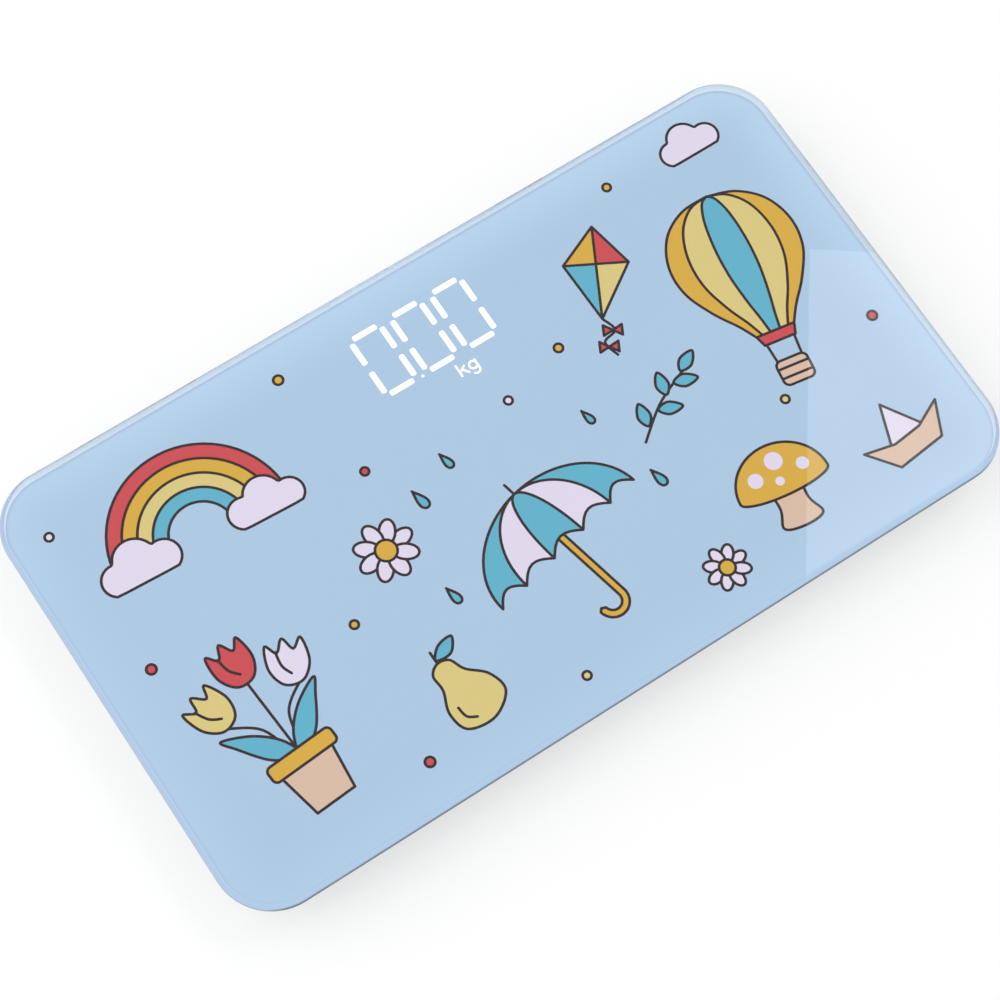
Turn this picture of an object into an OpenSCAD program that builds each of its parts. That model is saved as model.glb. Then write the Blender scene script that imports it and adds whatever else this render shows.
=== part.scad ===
// Glass-top bathroom scale with a hidden LED display.
// Origin: centre of the footprint, on the plane that the feet stand on. X runs along the long
// side, Y towards the edge with the display (the rear), Z up. Millimetres.

/* [Glass platform] */
// Length of the platform
platform_l = 270; // [262:1:300]
// Width of the platform
platform_w = 150; // [148:1:180]
// Corner radius of the platform, seen from above
platform_corner_r = 18; // [17:0.5:24]
// Thickness of the tempered glass
glass_t = 5; // [4:0.5:8]
// How far the ground edge of the glass bulges out
glass_bulge = 1.6; // [1:0.1:2]
// Thickness of the enamel printed under the glass
print_t = 0.2; // [0.1:0.05:0.4]
// Distance from the edge of the glass to the edge of the enamel
print_inset = 2; // [2:0.1:2.8]
// Thickness of the foam tape that bonds glass and tray
tape_t = 0.8; // [0.5:0.1:1.5]

/* [Base tray] */
// Distance from the edge of the glass to the rim of the tray
rim_inset = 3; // [3:0.5:5]
// Width of the rim flange outside the tray's wall
rim_flange_w = 2.5; // [1.5:0.5:3]
// Thickness of the rim flange
rim_t = 1.4; // [1:0.2:2]
// How far the wall draws in from the flange to the floor
wall_taper = 4; // [2:0.5:5]
// Thickness of the tray's wall, measured level
tray_wall = 2; // [1.6:0.2:2.4]
// Thickness of the tray's floor
floor_t = 2.2; // [2.2:0.2:3]
// Radius of the edge between floor and wall
tray_edge_r = 2; // [1:0.2:2.2]
// Thickness of the stiffening ribs
rib_t = 1.2; // [0.8:0.1:1.6]
// Height of the stiffening ribs above the floor
rib_h = 3.8; // [3.4:0.2:5]
// Spacing of the stiffening ribs
rib_pitch = 24; // [20:1:30]
// Least distance between the wall and the rib beside it
rib_clear = 5; // [4:0.5:8]
// Distance of the four glass pillars from the middle, along X
pillar_x = 60; // [56:1:62]
// Distance of the four glass pillars from the middle, along Y
pillar_y = 30; // [26:1:31]
// Radius of the glass pillars
pillar_r = 4; // [3:0.5:5]

/* [Feet] */
// Height of the tray's floor above the ground
ground_gap = 4; // [3.6:0.2:6]
// Radius of a foot
foot_r = 13; // [11:0.5:13.5]
// Wall of a foot's shell
foot_wall = 1.1; // [0.8:0.1:1.6]
// Width of the flange that keeps a foot in the tray
foot_flange_w = 2; // [1.5:0.5:2.5]
// Thickness of that flange
foot_flange_t = 1.2; // [0.8:0.2:1.6]
// Radius of the stem that presses the load cell
foot_stem_r = 3.5; // [2.5:0.5:4.5]
// Travel of a foot as its load cell bends under full load
foot_travel = 0.4; // [0.2:0.05:0.5]
// Thickness of a rubber foot pad
pad_t = 2; // [1.6:0.2:2.4]
// Number of grooves in a foot pad
pad_grooves = 3; // [1:1:4]

/* [Load cells] */
// Thickness of a load cell's steel plate
cell_t = 1.6; // [1.2:0.2:2]
// Width of the band around a load cell's window
cell_band = 4; // [3:0.5:4.5]
// Width of the bending beam
cell_beam_w = 8; // [6:0.5:10]
// Thickness of the plastic retainer over a load cell
retainer_t = 2.2; // [1.6:0.2:3]
// Radius of the insulated wires
wire_r = 0.45; // [0.3:0.05:0.5]
// Spacing of neighbouring wires
wire_pitch = 1.3; // [1.2:0.05:1.4]

/* [Display] */
// Distance from the rear edge of the glass to the middle of the digits
display_from_edge = 24.2; // [24:0.1:28]
// Offset of the digits from the middle, along X
display_x = 4; // [0:0.5:6]
// Height of a digit
digit_h = 22.5; // [18:0.5:23]
// Width of a digit
digit_w = 12.2; // [10:0.2:12.6]
// Spacing of the digits
digit_pitch = 14.25; // [13.5:0.25:15.5]
// Width of a segment
segment_w = 1.8; // [1.4:0.1:2.2]
// Height of the unit sign below the digits
unit_h = 6; // [4:0.5:6.5]
// Thickness of the foam gasket around the display
gasket_t = 0.6; // [0.4:0.1:1]

/* [Electronics] */
// Thickness of the circuit board
board_t = 1.6; // [1:0.2:2]
// Distance of the unit button from the display's middle, along X
button_from_display = 28; // [26:1:29]
// Radius of the unit button
button_r = 4; // [3:0.5:4.5]
// Travel of the unit button
button_travel = 0.3; // [0.2:0.05:0.5]

/* [Batteries] */
// Diameter of a battery cell
battery_d = 10.5; // [10:0.1:11]
// Length of a battery cell over its contact
battery_l = 44.5; // [43:0.5:46]
// Position of the battery bay's middle, along Y
bay_y = -10; // [-14:1:-8]
// Length of a battery spring when it is fitted
spring_l = 6.9; // [5:0.1:8]
// Thickness of the battery door
door_t = 1.6; // [1.2:0.1:1.6]
// Gap around the battery door
door_gap = 0.3; // [0.2:0.05:0.5]
// Width of the ledge that the battery door closes against
ledge_w = 2; // [2:0.5:3]
// Width of the door's latch tongue
latch_w = 10; // [6:1:14]

/* [Hidden] */

// Smoothness of round surfaces
ROUND = 48;
// Overlap that joins two solids of one piece
JOIN = 0.5;
// How far a cut runs past the face that it opens
CUT = 1;
// Clearance of a sliding or turning piece
SLIDE = 0.3;
// Clearance of a piece set in its pocket
FITTED = 0.05;

// Corners in the order front left, front right, rear right, rear left, as signs of x and y
CORNERS = [[-1, -1], [1, -1], [1, 1], [-1, 1]];

// Heights, from the ground up
tray_z = ground_gap;
floor_z = tray_z + floor_t;
rib_top = floor_z + rib_h;

// The door closes the bay below the cells, and the cells lie under the bay's ceiling
door_rib_h = 0.4;
battery_z = tray_z + door_t + door_rib_h + SLIDE + battery_d / 2;
bay_ceiling_z = battery_z + battery_d / 2 + 0.2;
bay_ceiling_t = 1;
tray_top = bay_ceiling_z + bay_ceiling_t;
print_z = tray_top + tape_t;
glass_z = print_z + print_t;
platform_h = glass_z + glass_t;

// Tray outlines: the rim, and the wall that draws in below it
rim_l = platform_l - 2 * rim_inset;
rim_w = platform_w - 2 * rim_inset;
rim_r = platform_corner_r - rim_inset;
flange_z = tray_top - rim_t;
wall_angle = atan(wall_taper / (flange_z - tray_z));
// How far the wall's outer face lies inside the rim at a height
function wall_in(z) = rim_flange_w + (flange_z - z) * tan(wall_angle);
wall_in_floor = wall_in(tray_z);
// The swept wall carries a strip of the floor this far in from the rim
floor_strip = wall_in_floor + 3.5;

// Foot, from the ground up
foot_hole_r = foot_r + 0.35;
foot_flange_r = foot_r + foot_flange_w;
foot_drop = 0.3;
foot_flange_z = floor_z + foot_drop;
foot_flange_top = foot_flange_z + foot_flange_t;
foot_rim_z = 1;
foot_web_t = 1.6;
pad_r = foot_r - foot_wall - SLIDE;
collar_r = foot_flange_r + 0.4;
collar_t = 1.4;
lip_w = 2.2;
lip_h = 0.6;

// Load cell, in the frame of its foot, with its root towards the middle of the scale
cell_z = foot_flange_top + foot_travel + 1.1;
cell_top = cell_z + cell_t;
cell_out = foot_r + 1;
cell_half_w = foot_flange_r + 2;
cell_l = 2 * cell_half_w;
cell_root = cell_out - cell_l;
cell_r = 3;
cell_mid = (cell_root + cell_out) / 2;
pad_plate_l = 14;
pad_plate_w = 18;
post_r = 2.2;
post_in = 2.5;
retainer_top = cell_top + retainer_t;
retainer_band = cell_band - 0.5;
wire_notch = 3 * wire_pitch + 2;
seal_l = 6;
seal_w = cell_beam_w - 2;
seal_h = 1.1;
seal_x = cell_root + cell_band + 0.5;
screw_boss_r = 2.6;
screw_r = 1;
screw_head_r = 1.9;
screw_head_t = 1.2;
screw_hold = 3;
pilot_r = screw_r + FITTED;
// The outer screw clears the foot's flange, and the inner one the wires
ear_out = collar_r + screw_boss_r + 0.1;
ear_in = cell_root - screw_boss_r - 0.7;
ear_in_y = 9;
ear_r = screw_boss_r + 0.4;
ear_spots = [[ear_out, 0], [ear_in, ear_in_y]];
cell_wall_gap = 0.4;

// Feet stand as far out as the tray's wall lets the cells go
foot_x = rim_l / 2 - wall_in_floor - tray_wall - cell_wall_gap - ear_out - ear_r;
foot_y = rim_w / 2 - wall_in_floor - tray_wall - cell_wall_gap - cell_half_w;

// Wires lie over the ribs and under the circuit board
wire_z = rib_top + wire_r + 0.25;
wire_start_z = cell_top + wire_r + 0.1;
board_z = wire_z + wire_r + FITTED;
board_top = board_z + board_t;

// Display
display_y = platform_w / 2 - display_from_edge;
digits_w = 2 * digit_pitch + digit_w;
case_side = 3.2;
case_rear = 2.4;
unit_gap = 1.5;
case_x0 = display_x - digits_w / 2 - case_side;
case_x1 = display_x + digits_w / 2 + case_side;
case_y0 = display_y - digit_h / 2 - unit_gap - unit_h - 2;
case_y1 = display_y + digit_h / 2 + case_rear;
case_wall = 1;
case_top = print_z - gasket_t;
led_board_gap = 0.8;
led_board_t = 0.8;
led_board_z = board_top + led_board_gap;
led_board_top = led_board_z + led_board_t;
led_chip_size = [1.6, 0.8, 0.6];
segment_z = led_board_top + led_chip_size[2] + 0.3;
segment_gap = 0.35;
unit_w = 7;
unit_x = display_x + 5.7;
unit_y = display_y - digit_h / 2 - unit_gap - unit_h / 2;
dot_x = display_x - digit_pitch / 2;
dot_y = display_y - digit_h / 2 + segment_w / 2;
window_margin = 1.6;

// Circuit board around the display's case
board_side = 14.5;
board_front = 12;
board_x0 = case_x0 - board_side;
board_x1 = case_x1 + board_side;
board_y0 = case_y0 - board_front;
board_y1 = case_y1 + 0.3;
board_corner_r = 1.5;
board_screw_in = 3.4;
// The front screws stand between the unit button and the wires of the front load cells
button_x = display_x - button_from_display;
button_flange_w = 1.4;
boss_clear = 1;
front_screw_in = 12;
board_screws_at = [
    [board_x0 + board_screw_in, board_y1 - board_screw_in],
    [board_x1 - board_screw_in, board_y1 - board_screw_in],
    [button_x + button_r + button_flange_w + screw_boss_r + boss_clear, board_y0 + board_screw_in],
    [board_x1 - front_screw_in, board_y0 + board_screw_in]
];
// Where the wires of the front and rear load cells reach the board, behind its front edge
front_wires_in = 5;
rear_wires_in = 20;
// How far before the board the battery wires line up with their pads
pad_approach = 3;
pin_r = 0.3;
pin_hole_r = 0.4;
pin_pitch = 2.54;
pin_count = 10;
pin_y = case_y0 + 3;

// Unit button and its switch
button_in = 8;
button_y = board_y0 + button_in;
button_flange_z = floor_z + 0.1;
button_flange_t = 0.8;
button_top = button_flange_z + button_flange_t;
plunger_r = 1.75;
plunger_free = 0.8;
switch_size = 6;
switch_z = button_top + plunger_free;

// Battery bay
battery_gap = 0.8;
battery_side = 0.4;
battery_dy = (battery_d + battery_gap) / 2;
nub_r = 1.9;
nub_l = 1;
contact_t = 0.4;
contact_bump = 0.8;
contact_half = 4.4;
bay_l = 2 * contact_t + contact_bump + battery_l + spring_l;
bay_w = 2 * battery_d + battery_gap + 2 * battery_side;
bay_wall = 1.3;
bay_frame_w = ledge_w + door_gap + 2.4;
bay_frame_z = floor_z + 1;
divider_t = 0.5;
tab_l = 3.5;
tab_w = 3;
tab_z = battery_z;
tab_reach = bay_l / 2 + bay_wall + tab_l;
spring_wire_r = 0.35;
spring_turns = 4;
spring_wide_r = 3.6;
spring_narrow_r = 1.9;

// Battery door
door_l = bay_l + 2 * ledge_w;
door_w = bay_w + 2 * ledge_w;
door_pocket_l = door_l + 2 * door_gap;
door_pocket_w = door_w + 2 * door_gap;
door_seat_z = tray_z + door_t + 0.1;
barrel_r = 1;
hinge_y = bay_y + door_w / 2 - barrel_r;
hinge_z = tray_z + barrel_r;
hinge_pin_r = 0.6;
hinge_bore_r = hinge_pin_r + FITTED;
hinge_pin_l = 1.6;
latch_l = 9;
latch_slot = 0.8;
latch_nose = 0.25;
scoop_r = 12;
scoop_depth = 1.2;

// Colours
GLASS = [0.8, 0.92, 0.9, 0.35];
PRINT = [0.68, 0.8, 0.89];
WHITE = [0.94, 0.94, 0.93];
STEEL = [0.75, 0.76, 0.78];
BOARD = [0.1, 0.4, 0.22];

// A rectangle with round corners, centred
module round_rect(l, w, r) {
    square([l - 2 * r, w], center = true);
    square([l, w - 2 * r], center = true);
    for (x = [-1, 1], y = [-1, 1])
        translate([x * (l / 2 - r), y * (w / 2 - r)])
            circle(r, $fn = ROUND);
}

// The same between two corners
module round_rect_between(x0, y0, x1, y1, r) {
    translate([(x0 + x1) / 2, (y0 + y1) / 2])
        round_rect(x1 - x0, y1 - y0, r);
}

// A bar with round ends
module stadium(l, w) {
    square([l - w, w], center = true);
    for (x = [-1, 1])
        translate([x * (l - w) / 2, 0])
            circle(w / 2, $fn = ROUND);
}

// Sweeps a profile around a rounded rectangle. The profile's x is 0 on the outline and
// negative inside it, and its y is the height.
module around(l, w, r) {
    for (turn = [0:3]) {
        sx = turn == 0 || turn == 3 ? 1 : -1;
        sy = turn < 2 ? 1 : -1;
        translate([sx * (l / 2 - r), sy * (w / 2 - r), 0])
            rotate(90 * turn)
                rotate_extrude(angle = 90, $fn = 2 * ROUND)
                    translate([r, 0])
                        children();
    }
    for (side = [0, 180]) {
        rotate(side)
            translate([l / 2, 0, 0])
                rotate([90, 0, 0])
                    linear_extrude(w - 2 * r, center = true)
                        children();
        rotate(side + 90)
            translate([w / 2, 0, 0])
                rotate([90, 0, 0])
                    linear_extrude(l - 2 * r, center = true)
                        children();
    }
}

// Puts a piece modelled in a foot's frame at one corner of the scale
module at_corner(corner) {
    translate([corner[0] * foot_x, corner[1] * foot_y, 0])
        mirror([corner[0] < 0 ? 1 : 0, 0, 0])
            mirror([0, corner[1] < 0 ? 1 : 0, 0])
                children();
}

// A point of a foot's frame, seen from the scale's frame
function corner_point(corner, p) = [
    corner[0] * (foot_x + p[0]),
    corner[1] * (foot_y + p[1]),
    p[2]
];

// Rounds a route's bends: each inner point becomes a short curve that starts and ends near it
function unit(v) = v / norm(v);
function bend(a, b, c, reach) = [
    for (t = [0, 0.5, 1])
        let (p = b + unit(a - b) * reach, q = b + unit(c - b) * reach)
            (1 - t) * (1 - t) * p + 2 * t * (1 - t) * b + t * t * q
];
function rounded_route(points, reach) = [
    points[0],
    for (i = [1:len(points) - 2])
        each bend(points[i - 1], points[i], points[i + 1], reach),
    points[len(points) - 1]
];

// The direction of a route at one of its points
function heading(route, i) = unit(
    route[min(i + 1, len(route) - 1)] - route[max(i - 1, 0)]
);

// A round tube along a route. Each point has a hint, a direction across the route there.
module tube(route, hints, r, sides) {
    last = len(route) - 1;
    points = [
        for (i = [0:last])
            let (t = heading(route, i), side = unit(cross(t, hints[i])), up = cross(side, t))
                for (k = [0:sides - 1])
                    route[i] + r * (cos(360 * k / sides) * side + sin(360 * k / sides) * up)
    ];
    walls = [
        for (i = [0:last - 1], k = [0:sides - 1])
            let (a = i * sides + k, b = i * sides + (k + 1) % sides)
                each [[a, b, b + sides], [a, b + sides, a + sides]]
    ];
    start = [for (k = [1:sides - 2]) [0, k + 1, k]];
    first = last * sides;
    end = [for (k = [1:sides - 2]) [first, first + k, first + k + 1]];
    polyhedron(points, concat(walls, start, end));
}

// A wire with rounded bends
module wire(points, reach) {
    route = rounded_route(points, reach);
    tube(route, [for (p = route) [0, 0, 1]], wire_r, 8);
}

// A self-tapping screw with a flat round head, its seat at the origin
module screw() {
    cylinder(screw_head_t, screw_head_r, screw_head_r - 0.5, $fn = ROUND);
    translate([0, 0, -screw_hold - JOIN])
        cylinder(screw_hold + 2 * JOIN, r = screw_r, $fn = ROUND);
}

// Glass platform with a rounded ground edge
module glass_edge() {
    // The bulge is an arc through both faces of the plate
    arc_r = (pow(glass_t / 2, 2) + pow(glass_bulge, 2)) / (2 * glass_bulge);
    translate([-platform_corner_r, 0])
        square([platform_corner_r - glass_bulge, glass_t]);
    intersection() {
        translate([-arc_r, glass_t / 2])
            circle(arc_r, $fn = 2 * ROUND);
        translate([-glass_bulge, 0])
            square([glass_bulge, glass_t]);
    }
}

module glass_platform() {
    color(GLASS)
        translate([0, 0, glass_z]) {
            around(platform_l, platform_w, platform_corner_r)
                glass_edge();
            linear_extrude(glass_t)
                square([platform_l, platform_w] - 2 * platform_corner_r * [1, 1], center = true);
        }
}

// The clear patch of the enamel over the display
module window_outline(gap) {
    round_rect_between(
        case_x0 + window_margin + gap, case_y0 + window_margin + gap,
        case_x1 - window_margin - gap, case_y1 - window_margin - gap, 2 - gap
    );
}

module print_layer() {
    color(PRINT)
        translate([0, 0, print_z])
            linear_extrude(print_t)
                difference() {
                    round_rect(
                        platform_l - 2 * print_inset, platform_w - 2 * print_inset,
                        platform_corner_r - print_inset
                    );
                    window_outline(0);
                }
}

module display_window() {
    color([0.75, 0.84, 0.9])
        translate([0, 0, print_z])
            linear_extrude(print_t)
                window_outline(FITTED);
}

// Foam tape on the tray's rim
module rim_tape() {
    width = rim_flange_w + tray_wall - 0.8;
    color([0.3, 0.3, 0.32])
        translate([0, 0, tray_top])
            around(rim_l, rim_w, rim_r)
                translate([-0.4 - width, 0])
                    square([width, tape_t]);
}

// Tape pads on the pillars and on the ceiling of the battery bay
module inner_tape_pads() {
    color([0.3, 0.3, 0.32])
        translate([0, 0, tray_top])
            linear_extrude(tape_t) {
                pillar_spots()
                    circle(pillar_r - 0.5, $fn = ROUND);
                translate([0, bay_y])
                    round_rect(bay_l - 8, bay_w - 6, 2);
            }
}

module pillar_spots() {
    for (x = [-1, 1], y = [-1, 1])
        translate([x * pillar_x, y * pillar_y])
            children();
}

// Cross-section of the tray's rim, wall and outer strip of floor
module wall_profile() {
    foot = [-wall_in_floor, tray_z];
    // Length that the edge's arc takes from the floor and from the wall
    tangent = tray_edge_r / tan((90 + wall_angle) / 2);
    on_wall = foot + tangent * [sin(wall_angle), cos(wall_angle)];
    on_floor = foot - [tangent, 0];
    centre = on_floor + [0, tray_edge_r];
    polygon([
        [0, tray_top],
        [0, flange_z],
        [-rim_flange_w, flange_z],
        on_wall,
        centre,
        on_floor,
        [-floor_strip, tray_z],
        [-floor_strip, floor_z],
        [-wall_in(floor_z) - tray_wall, floor_z],
        [-wall_in(flange_z) - tray_wall, flange_z],
        [-rim_flange_w - tray_wall, tray_top]
    ]);
    intersection() {
        translate(centre)
            circle(tray_edge_r, $fn = ROUND);
        polygon([centre, on_floor, foot, on_wall]);
    }
}

// Outline of the floor inside the swept strip
module floor_outline() {
    difference() {
        round_rect(rim_l - 2 * floor_strip, rim_w - 2 * floor_strip, rim_r - floor_strip);
        for (corner = CORNERS)
            at_corner(corner)
                circle(foot_hole_r, $fn = 2 * ROUND);
        translate([button_x, button_y])
            circle(button_r + SLIDE, $fn = ROUND);
        translate([0, bay_y])
            square([bay_l, bay_w], center = true);
    }
}

// Ribs that stiffen the floor, left out where a cell, the bay or the button needs the room
module rib_lattice() {
    reach = (wall_in(floor_z) + wall_in(rib_top) + tray_wall) / 2;
    half_l = rim_l / 2 - reach;
    half_w = rim_w / 2 - reach;
    corner_r = rim_r - reach;
    // The outermost ribs keep clear of the wall beside them
    last_l = floor((half_l - rib_clear) / rib_pitch);
    last_w = floor((half_w - rib_clear) / rib_pitch);
    difference() {
        intersection() {
            union() {
                for (i = [-last_l:last_l])
                    translate([i * rib_pitch, 0])
                        square([rib_t, 2 * half_w], center = true);
                for (i = [-last_w:last_w])
                    translate([0, i * rib_pitch])
                        square([2 * half_l, rib_t], center = true);
            }
            round_rect(2 * half_l, 2 * half_w, corner_r);
        }
        for (corner = CORNERS)
            at_corner(corner)
                cell_room();
        translate([0, bay_y])
            square([bay_l + bay_wall, bay_w + bay_wall], center = true);
        translate([button_x, button_y])
            circle(switch_size, $fn = ROUND);
        screw_holes();
    }
}

// Pilot holes of all screws, seen from above
module screw_holes() {
    for (corner = CORNERS)
        at_corner(corner)
            for (spot = ear_spots)
                translate(spot)
                    circle(pilot_r, $fn = ROUND);
    for (spot = board_screws_at)
        translate(spot)
            circle(pilot_r, $fn = ROUND);
}

// The room that a load cell and its foot's collar take, seen from above
module cell_room() {
    around_cell = 0.8;
    reach = max(cell_half_w, collar_r + collar_t / 2) + around_cell;
    translate([cell_root - around_cell, -reach])
        square([collar_r + collar_t / 2 - cell_root + around_cell, 2 * reach]);
}

// Foot wells: a collar around the flange, four posts under the cell and two screw bosses
module foot_well() {
    difference() {
        union() {
            translate([0, 0, floor_z - JOIN])
                cylinder(cell_z - floor_z + JOIN - 0.4, r = collar_r + collar_t, $fn = 2 * ROUND);
            for (x = [cell_root + post_in, cell_out - post_in], y = [-1, 1])
                translate([x, y * (cell_half_w - post_in), floor_z - JOIN])
                    cylinder(cell_z - floor_z + JOIN, r = post_r, $fn = ROUND);
            for (spot = ear_spots)
                translate([spot[0], spot[1], floor_z - JOIN])
                    cylinder(cell_top - floor_z + JOIN, r = screw_boss_r, $fn = ROUND);
            translate([0, 0, tray_z - lip_h])
                cylinder(lip_h + JOIN, r = foot_hole_r + lip_w, $fn = 2 * ROUND);
        }
        translate([0, 0, floor_z])
            cylinder(cell_z, r = collar_r, $fn = 2 * ROUND);
        translate([0, 0, tray_z - lip_h - CUT])
            cylinder(cell_z, r = foot_hole_r, $fn = 2 * ROUND);
        for (spot = ear_spots)
            translate([spot[0], spot[1], cell_top - screw_hold - 1])
                cylinder(screw_hold + 1 + CUT, r = pilot_r, $fn = ROUND);
    }
}

// Bosses that carry the circuit board
module board_bosses() {
    difference() {
        translate([0, 0, floor_z - JOIN])
            linear_extrude(board_z - floor_z + JOIN)
                for (spot = board_screws_at)
                    translate(spot)
                        circle(screw_boss_r, $fn = ROUND);
        translate([0, 0, board_z - screw_hold - 1])
            linear_extrude(screw_hold + 1 + CUT)
                for (spot = board_screws_at)
                    translate(spot)
                        circle(pilot_r, $fn = ROUND);
    }
}

// Battery bay: walls, ceiling with a divider, and the frame around the door's opening
module battery_bay() {
    outer = [bay_l + 2 * bay_wall, bay_w + 2 * bay_wall];
    translate([0, bay_y, 0]) {
        translate([0, 0, floor_z - JOIN])
            linear_extrude(bay_frame_z - floor_z + JOIN)
                difference() {
                    round_rect(bay_l + 2 * bay_frame_w, bay_w + 2 * bay_frame_w, 2);
                    square([bay_l, bay_w], center = true);
                }
        translate([0, 0, floor_z])
            linear_extrude(bay_ceiling_z - floor_z)
                difference() {
                    square(outer, center = true);
                    square([bay_l, bay_w], center = true);
                }
        translate([0, 0, bay_ceiling_z])
            linear_extrude(bay_ceiling_t)
                square(outer, center = true);
        translate([0, 0, (battery_z + bay_ceiling_z) / 2])
            cube([bay_l / 2, divider_t, bay_ceiling_z - battery_z + JOIN], center = true);
    }
}

// What is cut from the floor and the bay: the door's pocket, its hinge, slots for the contact
// tabs, and the scoop for a fingertip
module bay_cuts() {
    translate([0, bay_y, 0]) {
        translate([0, 0, tray_z - CUT])
            linear_extrude(door_seat_z - tray_z + CUT)
                round_rect(door_pocket_l, door_pocket_w, 1);
        translate([0, -door_w / 2 - scoop_r / 3, tray_z + scoop_depth - scoop_r])
            sphere(scoop_r, $fn = 2 * ROUND);
        for (side = [-1, 1])
            translate([-bay_l / 2 - bay_wall / 2, side * battery_dy, tab_z])
                cube([bay_wall + 2 * FITTED, tab_w + 0.2, contact_t + 0.2], center = true);
    }
    groove_r = barrel_r + SLIDE;
    translate([0, hinge_y, hinge_z])
        rotate([0, 90, 0]) {
            cylinder(door_l + 2 * door_gap, r = groove_r, center = true, $fn = ROUND);
            cylinder(door_l + 2 * hinge_pin_l + 0.4, r = hinge_bore_r, center = true, $fn = ROUND);
        }
}

module base_tray() {
    color(WHITE) {
        around(rim_l, rim_w, rim_r)
            wall_profile();
        difference() {
            union() {
                translate([0, 0, tray_z])
                    linear_extrude(floor_t)
                        floor_outline();
                battery_bay();
                translate([0, 0, floor_z - JOIN])
                    linear_extrude(rib_h + JOIN)
                        rib_lattice();
            }
            bay_cuts();
        }
        for (corner = CORNERS)
            at_corner(corner)
                foot_well();
        board_bosses();
        translate([0, 0, floor_z - JOIN])
            linear_extrude(tray_top - floor_z + JOIN)
                pillar_spots()
                    difference() {
                        circle(pillar_r, $fn = ROUND);
                        circle(pillar_r - 1.4, $fn = ROUND);
                    }
    }
}

// Load cell: a steel plate whose inner tongue bends when the foot's stem presses it
module load_cell(corner) {
    window_l = cell_l - 2 * cell_band;
    color(STEEL)
        at_corner(corner)
            translate([0, 0, cell_z])
                linear_extrude(cell_t) {
                    difference() {
                        translate([cell_mid, 0])
                            round_rect(cell_l, 2 * cell_half_w, cell_r);
                        translate([cell_mid, 0])
                            round_rect(window_l, 2 * (cell_half_w - cell_band), 1.5);
                    }
                    translate([cell_root + cell_band - JOIN, -cell_beam_w / 2])
                        square([-cell_root - cell_band + JOIN, cell_beam_w]);
                    round_rect(pad_plate_l, pad_plate_w, 2);
                }
}

// Silicone over the strain gauges, on each cell's beam
module gauge_seals() {
    color([0.96, 0.96, 0.94])
        for (corner = CORNERS)
            at_corner(corner)
                translate([seal_x + seal_l / 2, 0, cell_top])
                    linear_extrude(seal_h)
                        round_rect(seal_l, seal_w, 1.2);
}

// Retainers that hold the cells down, open towards the middle for the wires
module cell_retainers() {
    color([0.9, 0.9, 0.9])
        for (corner = CORNERS)
            at_corner(corner)
                translate([0, 0, cell_top])
                    linear_extrude(retainer_t)
                        retainer_outline();
}

module retainer_outline() {
    difference() {
        union() {
            difference() {
                translate([cell_mid, 0])
                    round_rect(cell_l, 2 * cell_half_w, cell_r);
                translate([cell_mid, 0])
                    round_rect(cell_l - 2 * retainer_band, 2 * (cell_half_w - retainer_band), 2);
                translate([cell_root - CUT, -wire_notch / 2])
                    square([retainer_band + 2 * CUT, wire_notch]);
            }
            for (spot = ear_spots)
                translate(spot) {
                    circle(ear_r, $fn = ROUND);
                    // The ear joins the frame
                    inward = spot[0] > 0 ? -1 : 1;
                    translate([inward * ear_r, 0])
                        square([2 * ear_r, 2 * ear_r - 1], center = true);
                }
        }
        for (spot = ear_spots)
            translate(spot)
                circle(screw_r + 0.2, $fn = ROUND);
    }
}

module retainer_screws() {
    color(STEEL)
        for (corner = CORNERS)
            at_corner(corner)
                for (spot = ear_spots)
                    translate([spot[0], spot[1], retainer_top])
                        screw();
}

// Three wires from each cell: over its band, down to the ribs, and under the circuit board
module cell_wires() {
    colours = [[0.75, 0.1, 0.1], [0.92, 0.92, 0.9], [0.1, 0.1, 0.1]];
    for (corner = CORNERS, k = [-1:1])
        color(colours[k + 1])
            wire(cell_wire_route(corner, k * wire_pitch), 1.5);
}

// A wire's route, with its offset from the middle one of the three
function cell_wire_route(corner, offset) =
    let (
        rear = corner[1] > 0,
        board_x = corner[0] > 0 ? board_x1 : board_x0,
        out = corner[0] * foot_x,
        y = corner[1] * foot_y + offset,
        // The route runs on the outer side of the pillars
        pass_x = corner[0] * (pillar_x + pillar_r + 4),
        rear_y = board_y0 + rear_wires_in + offset,
        turn = corner[0] * offset,
        start = [
            [out + corner[0] * seal_x, y, wire_start_z],
            [out + corner[0] * (cell_root - 1.5), y, wire_start_z],
            [out + corner[0] * (cell_root - 6), y, wire_z]
        ]
    )
    rear
        ? concat(start, [
            [pass_x, y, wire_z],
            [board_x + corner[0] * 8, rear_y, wire_z],
            [board_x - corner[0] * 1.5, rear_y, wire_z]
        ])
        : concat(start, [
            [board_x + corner[0] * 6 + turn, y, wire_z],
            [board_x + corner[0] * 6 + turn, board_y0 + front_wires_in + offset, wire_z],
            [board_x - corner[0] * 4, board_y0 + front_wires_in + offset, wire_z]
        ]);

// Circuit board with holes for its screws and the display's pins
module circuit_board() {
    color(BOARD)
        translate([0, 0, board_z])
            linear_extrude(board_t)
                difference() {
                    round_rect_between(board_x0, board_y0, board_x1, board_y1, board_corner_r);
                    for (spot = board_screws_at)
                        translate(spot)
                            circle(screw_r + 0.2, $fn = ROUND);
                    pin_spots()
                        circle(pin_hole_r, $fn = 24);
                }
}

module pin_spots() {
    for (i = [0:pin_count - 1])
        translate([display_x + (i - (pin_count - 1) / 2) * pin_pitch, pin_y])
            children();
}

module board_screws() {
    color(STEEL)
        for (spot = board_screws_at)
            translate([spot[0], spot[1], board_top])
                screw();
}

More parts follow.
